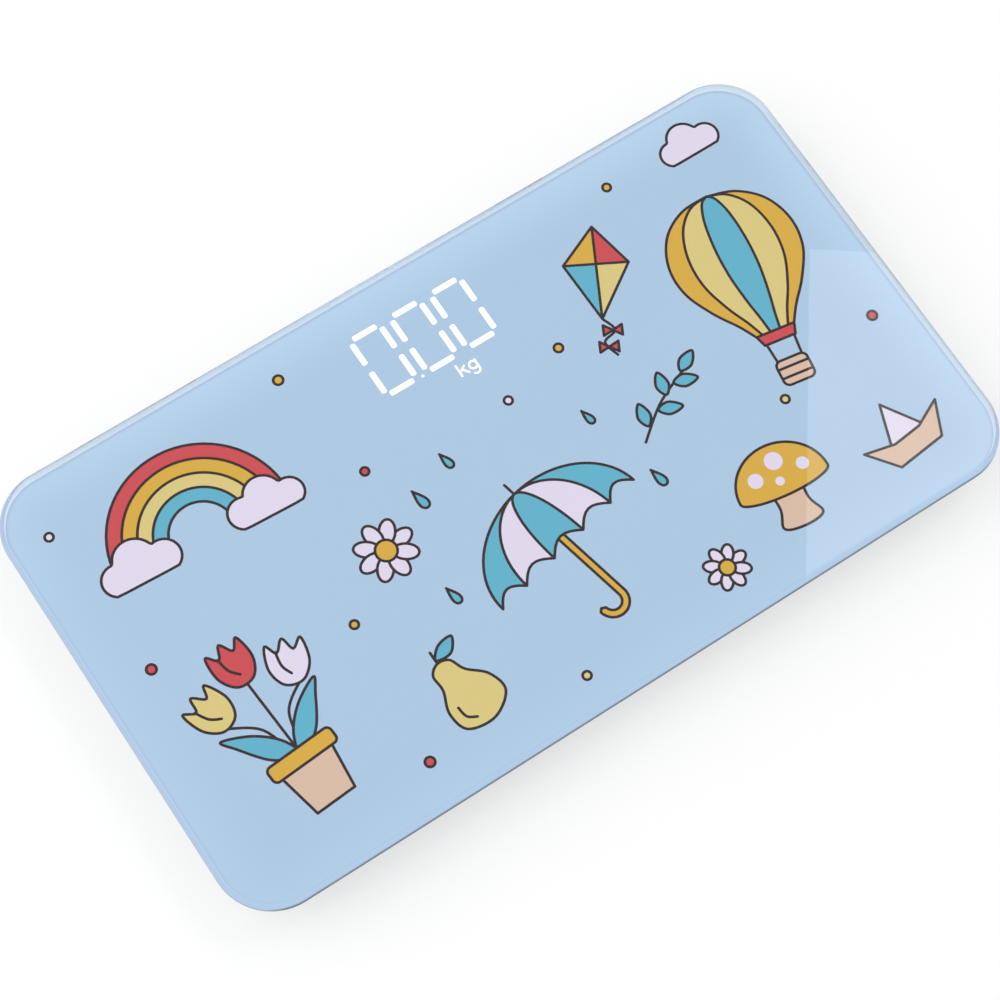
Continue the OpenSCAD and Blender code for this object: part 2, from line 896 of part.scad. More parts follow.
// Epoxy cap over the bonded chip
module control_chip() {
    cap_r = 4.5;
    cap_h = 1.5;
    ball_r = (cap_r * cap_r + cap_h * cap_h) / (2 * cap_h);
    color([0.08, 0.08, 0.09])
        translate([display_x + 2, board_y0 + board_front / 2 - 0.3, board_top])
            intersection() {
                translate([0, 0, cap_h - ball_r])
                    sphere(ball_r, $fn = 2 * ROUND);
                cylinder(cap_h, r = cap_r + CUT, $fn = ROUND);
            }
}

// Inductor, capacitor and small surface-mounted parts
module board_components() {
    color([0.25, 0.25, 0.27])
        translate([0, 0, board_top]) {
            translate([case_x1 + board_side / 2, display_y - 12, 0])
                cylinder(3, r = 3.2, $fn = ROUND);
            translate([case_x0 - board_side / 2, display_y + 1, 0])
                cylinder(4.6, r = 2.5, $fn = ROUND);
            for (i = [0:2])
                translate([display_x - 14 + 2.6 * i, board_y0 + 5, 0])
                    cube([1.6, 3, 0.8]);
            for (i = [0:3])
                translate([display_x + 9 + 2.2 * i, board_y0 + 7.4, 0])
                    cube([1.2, 2, 0.6]);
        }
}

// Outlines of one digit's seven segments, in the order of a clock face from the top
module digit_segments(grow) {
    across = digit_w - segment_w;
    half = (digit_h - segment_w) / 2;
    bar = across - segment_gap - segment_w / 2;
    post = half - segment_gap - segment_w / 2;
    for (level = [-1, 0, 1])
        translate([0, level * half])
            stadium(bar + 2 * grow, segment_w + 2 * grow);
    for (x = [-1, 1], level = [-0.5, 0.5])
        translate([x * across / 2, level * half])
            rotate(90)
                stadium(post + 2 * grow, segment_w + 2 * grow);
}

// Everything of the display that lights up, seen from above
module lit_outlines(grow = 0) {
    for (i = [-1:1])
        translate([display_x + i * digit_pitch, display_y])
            digit_segments(grow);
    translate([dot_x, dot_y])
        circle(segment_w / 2 + grow, $fn = ROUND);
    translate([unit_x, unit_y])
        square([unit_w + 2 * grow, unit_h + 2 * grow], center = true);
}

// Reflector case of the display, with a cavity under each segment
module led_case() {
    color([0.93, 0.93, 0.92]) {
        translate([0, 0, led_board_top])
            linear_extrude(case_top - led_board_top)
                difference() {
                    round_rect_between(case_x0, case_y0, case_x1, case_y1, 1);
                    lit_outlines(FITTED);
                }
        translate([0, 0, board_top])
            linear_extrude(led_board_top - board_top)
                difference() {
                    round_rect_between(case_x0, case_y0, case_x1, case_y1, 1);
                    square_between(
                        case_x0 + case_wall, case_y0 + case_wall,
                        case_x1 - case_wall, case_y1 - case_wall
                    );
                }
    }
}

module square_between(x0, y0, x1, y1) {
    translate([x0, y0])
        square([x1 - x0, y1 - y0]);
}

// Diffusing bars that fill the tops of the cavities
module led_segments() {
    color([0.98, 0.98, 1])
        translate([0, 0, segment_z])
            linear_extrude(case_top - segment_z)
                lit_outlines();
}

module led_board() {
    inset = case_wall + FITTED;
    color(BOARD)
        translate([0, 0, led_board_z])
            linear_extrude(led_board_t)
                square_between(case_x0 + inset, case_y0 + inset, case_x1 - inset, case_y1 - inset);
}

// One chip under each segment, the point and the unit sign
module led_chips() {
    across = (digit_w - segment_w) / 2;
    half = (digit_h - segment_w) / 2;
    color([0.95, 0.9, 0.5]) {
        for (i = [-1:1])
            translate([display_x + i * digit_pitch, display_y, 0]) {
                for (level = [-1, 0, 1])
                    led_chip([0, level * half], 0);
                for (x = [-1, 1], level = [-0.5, 0.5])
                    led_chip([x * across, level * half], 90);
            }
        led_chip([dot_x, dot_y], 0, 0.6);
        for (x = [-1, 1])
            led_chip([unit_x + x * unit_w / 4, unit_y], 0);
    }
}

module led_chip(spot, turn, size = 1) {
    translate([spot[0], spot[1], led_board_top + led_chip_size[2] / 2])
        rotate(turn)
            cube([led_chip_size[0] * size, led_chip_size[1] * size, led_chip_size[2]], center = true);
}

module led_pins() {
    color([0.85, 0.8, 0.6])
        pin_spots()
            translate([0, 0, board_z - 0.6])
                cylinder(led_board_z - board_z + 0.6, r = pin_r, $fn = 24);
}

// Foam frame that keeps the display's light from leaking under the glass
module display_gasket() {
    color([0.1, 0.1, 0.1])
        translate([0, 0, case_top])
            linear_extrude(gasket_t)
                difference() {
                    round_rect_between(case_x0, case_y0, case_x1, case_y1, 1);
                    window_outline(0);
                }
}

// Tact switch under the circuit board
module unit_switch() {
    bore_r = plunger_r + 0.1;
    color([0.2, 0.2, 0.22])
        translate([button_x, button_y, switch_z])
            difference() {
                linear_extrude(board_z - switch_z)
                    round_rect(switch_size, switch_size, 0.6);
                translate([0, 0, -CUT])
                    cylinder(CUT + plunger_free + button_travel + 0.6, r = bore_r, $fn = ROUND);
            }
}

module switch_plunger() {
    color([0.1, 0.1, 0.1])
        translate([button_x, button_y, button_top])
            cylinder(2 * plunger_free + 0.3, r = plunger_r, $fn = ROUND);
}

// Unit button: a cap through the floor with a flange above it
module unit_button() {
    cap_z = tray_z + 0.2;
    dish_r = 9;
    color([0.85, 0.86, 0.87])
        translate([button_x, button_y, 0])
            difference() {
                union() {
                    translate([0, 0, cap_z + 0.4])
                        cylinder(button_top - cap_z - 0.4, r = button_r, $fn = ROUND);
                    translate([0, 0, cap_z])
                        cylinder(0.4, button_r - 0.4, button_r, $fn = ROUND);
                    translate([0, 0, button_flange_z])
                        cylinder(button_flange_t, r = button_r + button_flange_w, $fn = ROUND);
                }
                translate([0, 0, cap_z - dish_r + 0.4])
                    sphere(dish_r, $fn = 2 * ROUND);
            }
}

module battery_rear() {
    color([0.2, 0.22, 0.25])
        battery(1, battery_dy);
}

module battery_front() {
    color([0.2, 0.22, 0.25])
        battery(-1, -battery_dy);
}

// A cell whose nub touches the contact at the bay's left end (1) or right end (-1)
module battery(way, y) {
    r = battery_d / 2;
    translate([-way * (bay_l / 2 - contact_t - contact_bump), bay_y + y, battery_z])
        rotate([0, way * 90, 0])
            rotate_extrude($fn = 2 * ROUND)
                polygon([
                    [0, 0], [nub_r, 0], [nub_r, nub_l], [r - 1.2, nub_l], [r - 0.2, nub_l + 0.4],
                    [r, nub_l + 0.8], [r, battery_l - 0.4], [r - 0.4, battery_l], [0, battery_l]
                ]);
}

// Sheet contact that stands at an end of the bay: way is 1 at the left end
module contact_plate(way, y, half_w) {
    translate([-way * (bay_l / 2 - contact_t / 2), bay_y + y, battery_z])
        cube([contact_t, 2 * half_w, 2 * contact_half], center = true);
}

module contact_bump(way, y) {
    translate([-way * (bay_l / 2 - contact_t), bay_y + y, battery_z])
        rotate([0, way * 90, 0])
            translate([0, 0, -contact_t / 2])
                cylinder(contact_bump + contact_t / 2, 2.4, 1.6, $fn = ROUND);
}

module contact_tab(y) {
    length = tab_reach - bay_l / 2 + contact_t / 2;
    translate([-tab_reach + length / 2, bay_y + y, tab_z])
        cube([length, tab_w, contact_t], center = true);
}

module positive_contact() {
    color(STEEL) {
        contact_plate(1, battery_dy, contact_half);
        contact_bump(1, battery_dy);
        contact_tab(battery_dy);
    }
}

module negative_contact() {
    color(STEEL) {
        contact_plate(1, -battery_dy, contact_half);
        contact_tab(-battery_dy);
    }
}

module bridge_contact() {
    color(STEEL) {
        contact_plate(-1, 0, battery_dy + contact_half);
        contact_bump(-1, -battery_dy);
    }
}

// Conical spring from a contact plate to the flat end of a cell
module battery_spring(way, y) {
    steps = 12;
    end_gap = spring_wire_r + 0.02;
    route = [
        for (i = [0:spring_turns * steps])
            let (
                part = i / (spring_turns * steps),
                r = spring_wide_r + (spring_narrow_r - spring_wide_r) * part,
                along = bay_l / 2 - contact_t - end_gap - part * (spring_l - 2 * end_gap),
                turn = 360 * i / steps
            )
                [along, r * cos(turn), r * sin(turn)]
    ];
    color(STEEL)
        translate([0, bay_y + y, battery_z])
            mirror([way > 0 ? 1 : 0, 0, 0])
                tube(route, [for (p = route) [0, p[1], p[2]]], spring_wire_r, 6);
}

module negative_spring() {
    battery_spring(1, -battery_dy);
}

module bridge_spring() {
    battery_spring(-1, battery_dy);
}

// Wires from the contact tabs to the circuit board
module battery_wires() {
    tab_end = -tab_reach + 1;
    tab_wire_z = tab_z + contact_t / 2 + wire_r;
    color([0.75, 0.1, 0.1])
        wire([
            [tab_end, bay_y + battery_dy, tab_wire_z],
            [tab_end - 3, bay_y + battery_dy, tab_wire_z],
            [tab_end - 3, bay_y + battery_dy + 6, wire_z],
            [board_x0 + 8.5, board_y0 - pad_approach, wire_z],
            [board_x0 + 8.5, board_y0 + 2, wire_z]
        ], 1.2);
    color([0.1, 0.1, 0.1])
        wire([
            [tab_end, bay_y - battery_dy, tab_wire_z],
            [tab_end - 3, bay_y - battery_dy, tab_wire_z],
            [tab_end - 5, bay_y - battery_dy + 6, wire_z],
            [tab_end - 5, bay_y + 14, wire_z],
            [board_x0 + 6, board_y0 - pad_approach, wire_z],
            [board_x0 + 6, board_y0 + 2, wire_z]
        ], 1.2);
}

// Battery door: a panel with a pivot barrel at its rear edge and a latch tongue in front
module battery_door() {
    front = -door_w / 2;
    panel_w = hinge_y - bay_y - front;
    color(WHITE) {
        difference() {
            translate([-door_l / 2, 0, 0])
                rotate([90, 0, 90])
                    linear_extrude(door_l)
                        door_profile();
            for (x = [-1, 1])
                translate([x * (latch_w + latch_slot) / 2, bay_y + front + latch_l / 2 - CUT, tray_z])
                    cube([latch_slot, latch_l + 2 * CUT, 4 * door_t], center = true);
        }
        // Latch nose
        translate([0, bay_y + front + 0.15, tray_z + door_t / 2])
            rotate([0, 90, 0])
                cylinder(latch_w - 2, r = 0.15 + latch_nose, center = true, $fn = ROUND);
        // Ribs inside
        for (y = [-1, 1])
            translate([0, bay_y + y * battery_dy / 2 + 2, tray_z + door_t])
                cube([door_l - 10, 1, 2 * door_rib_h], center = true);
        // Grip ridges outside
        for (i = [0:2])
            translate([0, bay_y + front + 2 + 1.6 * i, tray_z])
                cube([latch_w - 2, 0.6, 0.5], center = true);
        // Pivot pins
        translate([0, hinge_y, hinge_z])
            rotate([0, 90, 0])
                cylinder(door_l + 2 * hinge_pin_l, r = hinge_pin_r, center = true, $fn = ROUND);
    }
}

module door_profile() {
    translate([bay_y - door_w / 2, tray_z])
        square([door_w - barrel_r, door_t]);
    translate([hinge_y, hinge_z])
        circle(barrel_r, $fn = ROUND);
}

// Foot shell: a cup around the pad, a flange that keeps it in the tray, and a ribbed stem
module foot(corner) {
    rib_z = pad_t + foot_web_t;
    color(WHITE)
        at_corner(corner) {
            rotate_extrude($fn = 2 * ROUND)
                foot_profile();
            for (i = [0:2])
                rotate(60 * i)
                    translate([0, 0, rib_z - JOIN])
                        linear_extrude(foot_flange_z - rib_z + JOIN)
                            for (side = [-1, 1])
                                translate([side * (foot_stem_r + foot_r - foot_wall) / 2, 0])
                                    square([foot_r - foot_wall - foot_stem_r + 1, 1.2], center = true);
        }
}

module foot_profile() {
    inner = foot_r - foot_wall;
    // Rim with a rounded lower edge
    translate([inner, foot_rim_z + 0.5])
        square([foot_wall, foot_flange_top - foot_rim_z - 0.5]);
    translate([inner, foot_rim_z])
        square([foot_wall - 0.5, 1]);
    translate([foot_r - 0.5, foot_rim_z + 0.5])
        circle(0.5, $fn = ROUND);
    // Flange
    translate([inner, foot_flange_z])
        square([foot_flange_r - inner, foot_flange_t]);
    // Web and stem
    translate([0, pad_t])
        square([inner + foot_wall / 2, foot_web_t]);
    translate([0, pad_t])
        square([foot_stem_r, cell_z - pad_t]);
}

// Rubber pad with ring grooves
module foot_pad(corner) {
    groove_w = 1.2;
    groove_depth = 0.5;
    ring = pad_r / (pad_grooves + 1);
    color([0.35, 0.36, 0.38])
        at_corner(corner)
            rotate_extrude($fn = 2 * ROUND)
                difference() {
                    union() {
                        square([pad_r - 0.6, pad_t]);
                        translate([0, 0.6])
                            square([pad_r, pad_t - 0.6]);
                        translate([pad_r - 0.6, 0.6])
                            circle(0.6, $fn = ROUND);
                    }
                    for (i = [1:pad_grooves])
                        translate([ring * i - groove_w / 2, -CUT])
                            square([groove_w, CUT + groove_depth]);
                }
}

glass_platform();
print_layer();
display_window();
rim_tape();
inner_tape_pads();
base_tray();
load_cell(CORNERS[0]);  // load_cell_front_left
load_cell(CORNERS[1]);  // load_cell_front_right
load_cell(CORNERS[2]);  // load_cell_rear_right
load_cell(CORNERS[3]);  // load_cell_rear_left
gauge_seals();
cell_retainers();
retainer_screws();
cell_wires();
circuit_board();
control_chip();
board_components();
board_screws();
led_board();
led_chips();
led_pins();
led_case();
led_segments();
display_gasket();
unit_switch();
switch_plunger();
unit_button();
battery_rear();
battery_front();
positive_contact();
negative_contact();
negative_spring();
bridge_contact();
bridge_spring();
battery_wires();
battery_door();
foot(CORNERS[0]);  // foot_front_left
foot(CORNERS[1]);  // foot_front_right
foot(CORNERS[2]);  // foot_rear_right
foot(CORNERS[3]);  // foot_rear_left
foot_pad(CORNERS[0]);  // foot_pad_front_left
foot_pad(CORNERS[1]);  // foot_pad_front_right
foot_pad(CORNERS[2]);  // foot_pad_rear_right
foot_pad(CORNERS[3]);  // foot_pad_rear_left
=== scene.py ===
# %% [markdown]
# # A glass-top bathroom scale
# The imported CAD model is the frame: it says where every part is and how the feet, the button
# and the battery door move. This script dresses that frame. The big glass plate, its printed
# underside and the lit digits are made new, because the camera looks straight at them. The
# tray, the feet and the parts inside keep their CAD shapes and get better finishes.

# %% Load the frame
import math

import bmesh
import bpy
import numpy
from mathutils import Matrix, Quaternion, Vector
from mathutils.geometry import delaunay_2d_cdt


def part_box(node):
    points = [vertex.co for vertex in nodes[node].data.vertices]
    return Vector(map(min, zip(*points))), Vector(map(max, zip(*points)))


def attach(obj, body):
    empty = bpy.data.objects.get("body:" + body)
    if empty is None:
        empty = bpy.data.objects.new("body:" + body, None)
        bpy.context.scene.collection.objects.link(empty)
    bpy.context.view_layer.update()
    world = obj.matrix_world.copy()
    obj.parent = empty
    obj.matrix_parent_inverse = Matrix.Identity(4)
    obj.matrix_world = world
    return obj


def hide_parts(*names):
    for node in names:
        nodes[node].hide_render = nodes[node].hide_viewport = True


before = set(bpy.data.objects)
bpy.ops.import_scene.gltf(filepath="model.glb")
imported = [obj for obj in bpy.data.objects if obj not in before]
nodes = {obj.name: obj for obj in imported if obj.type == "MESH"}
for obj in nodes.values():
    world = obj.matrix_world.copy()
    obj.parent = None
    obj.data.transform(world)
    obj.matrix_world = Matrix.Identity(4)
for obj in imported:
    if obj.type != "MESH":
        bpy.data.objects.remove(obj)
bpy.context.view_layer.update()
scene = bpy.context.scene
MM = 0.001

# %% [markdown]
# ## The camera
# A product photographer stood over one long corner of the scale with a long lens. The camera
# is given by what it looks at, the way it looks and how far away it stands. A long lens at
# nearly a metre keeps the plate's edges almost parallel, as they are in the photograph.

# %% Place the camera
AIM = Vector((-5.62, -5.0, 21.5)) * MM
LOOK = Vector((0.22787818, 0.25731769, -0.93907356))
DISTANCE = 908.75 * MM
ROLL = math.radians(8.43)
LENS = 111.73
SENSOR = 36

camera_data = bpy.data.cameras.new("camera")
camera_data.lens = LENS
camera_data.sensor_width = SENSOR
camera = bpy.data.objects.new("camera", camera_data)
camera.rotation_mode = "QUATERNION"
camera.location = AIM - LOOK * DISTANCE
camera.rotation_quaternion = LOOK.to_track_quat("-Z", "Y") @ Quaternion((0, 0, 1), ROLL)
scene.collection.objects.link(camera)
scene.camera = camera
scene.view_settings.view_transform = "Standard"
print("camera:", camera.location, "lens", LENS)

# %% [markdown]
# ## Wires that Python can calculate with
# Materials and Geometry Nodes trees are both graphs of nodes. Typing a formula is easier to
# read than a page of links, so a small class wraps an output socket, and the usual operators
# add the Math nodes. A bench holds one tree, and its node() makes every other node.

# %% Make the bench and its wires
class Wire:
    """An output socket that takes part in sums."""

    def __init__(self, bench, socket):
        self.bench = bench
        self.socket = socket

    def math(self, operation, first, second):
        return self.bench.node("ShaderNodeMath", {0: first, 1: second}, operation=operation)

    def __add__(self, other):
        return self.math("ADD", self, other)

    def __sub__(self, other):
        return self.math("SUBTRACT", self, other)

    def __mul__(self, other):
        return self.math("MULTIPLY", self, other)

    def __truediv__(self, other):
        return self.math("DIVIDE", self, other)

    def __rsub__(self, other):
        return self.math("SUBTRACT", other, self)

    def __pow__(self, other):
        return self.math("POWER", self, other)

    def __abs__(self):
        return self.math("ABSOLUTE", self, 0.0)

    def at_least(self, other):
        return self.math("MAXIMUM", self, other)

    def at_most(self, other):
        return self.math("MINIMUM", self, other)

    __radd__ = __add__
    __rmul__ = __mul__


class Bench:
    """One node tree. node() makes a node, sets it up and feeds its sockets."""

    def __init__(self, tree):
        self.tree = tree

    def node(self, kind, feeds=None, out=0, **settings):
        made = self.tree.nodes.new(kind)
        for key, value in settings.items():
            setattr(made, key, value)
        for key, value in (feeds or {}).items():
            if isinstance(value, Wire):
                self.tree.links.new(value.socket, made.inputs[key])
            else:
                made.inputs[key].default_value = value
        return Wire(self, made.outputs[out] if made.outputs else None)


print("bench ready")

# %% [markdown]
# ## Finishes
# Nothing real is one flat colour. Every finish here starts from a plain colour and lets slow
# noise shift it a little, lets the gloss wander, and gives the surface a fine grain through a
# bump. Noise is read in Object coordinates, in metres, so its scale is a real size.

# %% Make a finish from a few numbers
BUMP = 0.35


def srgb(code):
    """A colour written as six hexadecimal digits, as linear light."""
    parts = [int(code[i:i + 2], 16) / 255 for i in (0, 2, 4)]
    linear = [p / 12.92 if p <= 0.04045 else ((p + 0.055) / 1.055) ** 2.4 for p in parts]
    return (*linear, 1)


def shade(colour, factor):
    return tuple(min(1, c * factor) for c in colour[:3]) + (1,)


def blank_material(name):
    material = bpy.data.materials.new(name)
    material.use_nodes = True
    material.node_tree.nodes.clear()
    return material, Bench(material.node_tree)


def place_of(bench, stretch=None):
    """Where a point lies on the object, in metres, with each axis stretched if asked."""
    place = bench.node("ShaderNodeTexCoord", out="Object")
    if stretch:
        place = bench.node("ShaderNodeMapping", {"Vector": place, "Scale": stretch})
    return place


def axes_of(bench):
    """The x, y and z of a point on the object, in millimetres."""
    split = bench.node("ShaderNodeSeparateXYZ", {0: place_of(bench)}).socket.node
    return [Wire(bench, output) / MM for output in split.outputs]


def step(value, edge, soft=0.06):
    """0 below an edge and 1 above it, with a soft change between, as wide as soft."""
    return ((value - edge) / soft + 0.5).at_least(0).at_most(1)


def noise(bench, size, detail=2.0, stretch=None):
    """Noise whose lumps are about this size, in millimetres."""
    feeds = {"Vector": place_of(bench, stretch), "Scale": 1 / (size * MM), "Detail": detail}
    return bench.node("ShaderNodeTexNoise", feeds, out="Fac")


def tinted(bench, mask, first, second):
    """A colour that goes from the first to the second as the mask goes from 0 to 1."""
    feeds = {0: mask, 6: first, 7: second}
    return bench.node("ShaderNodeMix", feeds, out=2, data_type="RGBA")


def finish(name, colour, rough, wander=0.06, patch=14, shift=0.05, grain=0.25, relief=0.05,
           stretch=None, recipe=None, **constants):
    """A solid material: colour and gloss wander over patches, and a fine grain gives relief."""
    material, bench = blank_material(name)
    patches = noise(bench, patch)
    base = tinted(bench, patches, shade(colour, 1 - shift), shade(colour, 1 + shift))
    surface = bench.node("ShaderNodeBsdfPrincipled", {
        "Base Color": recipe(bench, base) if recipe else base,
        "Roughness": patches * (2 * wander) + (rough - wander),
        "Normal": bench.node("ShaderNodeBump", {
            "Strength": BUMP, "Distance": relief * MM,
            "Height": noise(bench, grain, 3.0, stretch),
        }),
        **{key.replace("_", " "): value for key, value in constants.items()},
    })
    bench.node("ShaderNodeOutputMaterial", {"Surface": surface})
    return material


print("finishes ready")

# %% [markdown]
# ## Floor and studio light
# The photograph shows plain white all round. The floor is a pale sheet that still takes the
# scale's soft shadow. Seen by the camera or in the glass it also glows a little, and more so
# far out, where the lamps don't reach, which brings it up to white. From below it is clear, and
# the light of the even sky comes up through it, so the underside can be looked at. The rest of
# the light is soft and plain too: one large softbox, and a smaller panel whose mirror image is
# the pale patch at the plate's right end.

# %% Lay the floor
FLOOR_SIZE = 8
FLOOR_TONE = 0.9
WHITE = (1, 1, 1, 1)
FLOOR_GLOW = 0.3
NEAR_GLOW = (0.4, 0.4, 0.4, 1)
LAMPS_REACH = 1250
GLOW_RISES_OVER = 1900


def is_ray(bench, kind):
    """1 where the renderer follows this kind of ray, and 0 otherwise."""
    return bench.node("ShaderNodeLightPath", out="Is " + kind + " Ray")


def seen_directly(bench):
    """1 for camera, mirror and glass rays, and 0 for the rays that light things."""
    camera_or_mirror = is_ray(bench, "Camera") + is_ray(bench, "Glossy")
    return (camera_or_mirror + is_ray(bench, "Transmission")).at_most(1)


floor_mesh = bpy.data.meshes.new("floor")
floor_shape = bmesh.new()
bmesh.ops.create_grid(floor_shape, x_segments=4, y_segments=4, size=FLOOR_SIZE / 2)
floor_shape.to_mesh(floor_mesh)
floor_shape.free()
floor = bpy.data.objects.new("floor", floor_mesh)
scene.collection.objects.link(floor)

floor_paint, bench = blank_material("floor_sheet")

x, y, _ = axes_of(bench)
far_out = step((x ** 2 + y ** 2) ** 0.5, LAMPS_REACH, GLOW_RISES_OVER)
sheet = bench.node("ShaderNodeBsdfPrincipled", {
    "Base Color": (FLOOR_TONE, FLOOR_TONE, FLOOR_TONE, 1),
    "Roughness": 0.9,
    "Specular IOR Level": 0.0,
    "Emission Color": tinted(bench, far_out, NEAR_GLOW, WHITE),
    "Emission Strength": seen_directly(bench) * FLOOR_GLOW,
})
clear = bench.node("ShaderNodeBsdfTransparent")
below = bench.node("ShaderNodeNewGeometry", out="Backfacing")
open_to = (below + is_ray(bench, "Diffuse") + is_ray(bench, "Shadow")).at_most(1)
both = bench.node("ShaderNodeMixShader", {0: open_to, 1: sheet, 2: clear})
bench.node("ShaderNodeOutputMaterial", {"Surface": both})
floor_mesh.materials.append(floor_paint)

# %% Light the studio
SKY = 0.80
KEY_AT = (-1.1, 0.5, 1.3)
KEY_SIZE = (2.0, 2.0)
KEY_POWER = 9.3
WINDOW_AT = (0.503, 0.047, 1.024)
WINDOW_SIZE = (0.30, 0.42)
WINDOW_POWER = 0.7
WINDOW_TURN = -36.1

world = bpy.data.worlds.new("studio")
world.use_nodes = True
world.node_tree.nodes.clear()
bench = Bench(world.node_tree)
glow = bench.node("ShaderNodeBackground", {
    "Color": WHITE,
    "Strength": seen_directly(bench) * (1 - SKY) + SKY,
})
bench.node("ShaderNodeOutputWorld", {"Surface": glow})
scene.world = world


def softbox(name, place, aim, size, power):
    data = bpy.data.lights.new(name, "AREA")
    data.shape = "RECTANGLE"
    data.size, data.size_y = size
    data.energy = power
    lamp = bpy.data.objects.new(name, data)
    lamp.location = place
    lamp.rotation_mode = "QUATERNION"
    lamp.rotation_quaternion = (Vector(aim) - Vector(place)).to_track_quat("-Z", "Y")
    scene.collection.objects.link(lamp)
    return lamp


softbox("key", KEY_AT, (0, 0, 0), KEY_SIZE, KEY_POWER)
window = softbox("window", WINDOW_AT, (*WINDOW_AT[:2], 0), WINDOW_SIZE, WINDOW_POWER)
window.rotation_quaternion = Quaternion((0, 0, 1), math.radians(WINDOW_TURN))
print("light: sky", SKY, "and two softboxes")

# %% [markdown]
# ## Shapes cut from flat stock
# The print and the lit letters are thin flat pieces. They start as flat outlines that may
# overlap. A constrained triangulation cuts the plane along all of them into triangles that
# never overlap, and each triangle goes to the outline printed last over its middle. A slab
# over the triangles is one closed layer with real thickness, so no two inks share a place.

# %% Cut outlines into one layer
SAME_SPOT = 0.0001


def rounded_rectangle(length, width, radius, steps=16, at=(0, 0)):
    points = []
    for corner in range(4):
        middle_x = (length / 2 - radius) * (1 if corner in (0, 3) else -1)
        middle_y = (width / 2 - radius) * (1 if corner < 2 else -1)
        for part in range(steps + 1):
            angle = math.radians(90 * (corner + part / steps))
            points.append((
                at[0] + middle_x + radius * math.cos(angle),
                at[1] + middle_y + radius * math.sin(angle),
            ))
    return points


def covered(spots, outline):
    """Which of the spots, an array of x and y, lie inside an outline."""
    x, y = spots.T
    inside = numpy.zeros(len(spots), bool)
    for (x1, y1), (x2, y2) in zip(outline, outline[1:] + outline[:1]):
        if y1 != y2:
            crossing = (y1 > y) != (y2 > y)
            inside ^= crossing & (x < x1 + (x2 - x1) * (y - y1) / (y2 - y1))
    return inside


def one_layer(outlines):
    """Triangles, each with the tone of the last of the (order, tone, outline) that covers it."""
    spots, edges = [], []
    for _, _, outline in outlines:
        first = len(spots)
        spots += [Vector(point) for point in outline]
        edges += [(i, i + 1) for i in range(first, len(spots) - 1)] + [(len(spots) - 1, first)]
    spots, _, triangles, *_ = delaunay_2d_cdt(spots, edges, [], 0, SAME_SPOT, False)
    middles = numpy.array([(spots[a] + spots[b] + spots[c]) / 3 for a, b, c in triangles])
    tones = [None] * len(triangles)
    for _, tone, outline in sorted(outlines, key=lambda item: item[0]):
        corners = numpy.array(outline)
        near = (middles > corners.min(0)).all(1) & (middles < corners.max(0)).all(1)
        near = numpy.nonzero(near)[0]
        for i in near[covered(middles[near], outline)]:
            tones[i] = tone
    kept = [(triangle, tone) for triangle, tone in zip(triangles, tones) if tone]
    return spots, [triangle for triangle, _ in kept], [tone for _, tone in kept]


def slab(spots, triangles, low, high):
    """A closed slab over flat triangles, and its top faces in the triangles' order."""
    shape = bmesh.new()
    bottom = [shape.verts.new((x * MM, y * MM, low * MM)) for x, y in spots]
    top = [shape.verts.new((x * MM, y * MM, high * MM)) for x, y in spots]
    sides = {pair for a, b, c in triangles for pair in ((a, b), (b, c), (c, a))}
    tops = [shape.faces.new([top[i] for i in triangle]) for triangle in triangles]
    for triangle in triangles:
        shape.faces.new([bottom[i] for i in reversed(triangle)])
    for a, b in sides:
        if (b, a) not in sides:
            shape.faces.new((bottom[a], bottom[b], top[b], top[a]))
    return shape, tops


def piece_from(shape, name, materials):
    """Keeps a bmesh as a piece that rides on the base."""
    mesh = bpy.data.meshes.new(name)
    shape.to_mesh(mesh)
    shape.free()
    for material in materials:
        mesh.materials.append(material)
    made = bpy.data.objects.new(name, mesh)
    scene.collection.objects.link(made)
    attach(made, "base")
    print(name, "has", len(mesh.polygons), "faces")
    return made


# %% [markdown]
# ## Geometry Nodes as a workshop
# A shape that follows a rule is described once, as a tree with named sizes. The helper below
# runs a tree, keeps the result as a plain mesh and takes the modifier away again. Where a
# tree needs to know something about each point, the points carry it as an attribute.

# %% Start and run a tree
def new_tree(name, sizes):
    tree = bpy.data.node_groups.new(name, "GeometryNodeTree")
    face = tree.interface
    face.new_socket("Geometry", in_out="OUTPUT", socket_type="NodeSocketGeometry")
    face.new_socket("Geometry", in_out="INPUT", socket_type="NodeSocketGeometry")
    for label, kind in sizes.items():
        face.new_socket(label, in_out="INPUT", socket_type="NodeSocket" + kind)
    bench = Bench(tree)
    inlet = tree.nodes.new("NodeGroupInput")
    wires = {label: Wire(bench, inlet.outputs[label]) for label in ["Geometry", *sizes]}
    return tree, bench, wires


def rounded_oblong(bench, length, width, radius, steps):
    oblong = bench.node("GeometryNodeCurvePrimitiveQuadrilateral", {
        "Width": length, "Height": width,
    })
    return bench.node("GeometryNodeFilletCurve", {
        "Curve": oblong, "Count": steps, "Radius": radius,
    }, mode="POLY")


def carried(bench, name, kind="FLOAT"):
    """What the points carry under a name."""
    return bench.node("GeometryNodeInputNamedAttribute", {"Name": name}, data_type=kind)


def carry(mesh, name, values, kind="FLOAT"):
    """Gives each point of a mesh its value under a name."""
    mesh.attributes.new(name, kind, "POINT").data.foreach_set("value", values)


def join(bench, *parts):
    joined = bench.tree.nodes.new("GeometryNodeJoinGeometry")
    for part in parts:
        bench.tree.links.new(part.socket, joined.inputs[0])
    return Wire(bench, joined.outputs[0])


def close_tree(bench, geometry, material):
    real = bench.node("GeometryNodeRealizeInstances", {"Geometry": geometry})
    dressed = bench.node("GeometryNodeSetMaterial", {"Geometry": real, "Material": material})
    bench.node("NodeGroupOutput", {"Geometry": dressed})


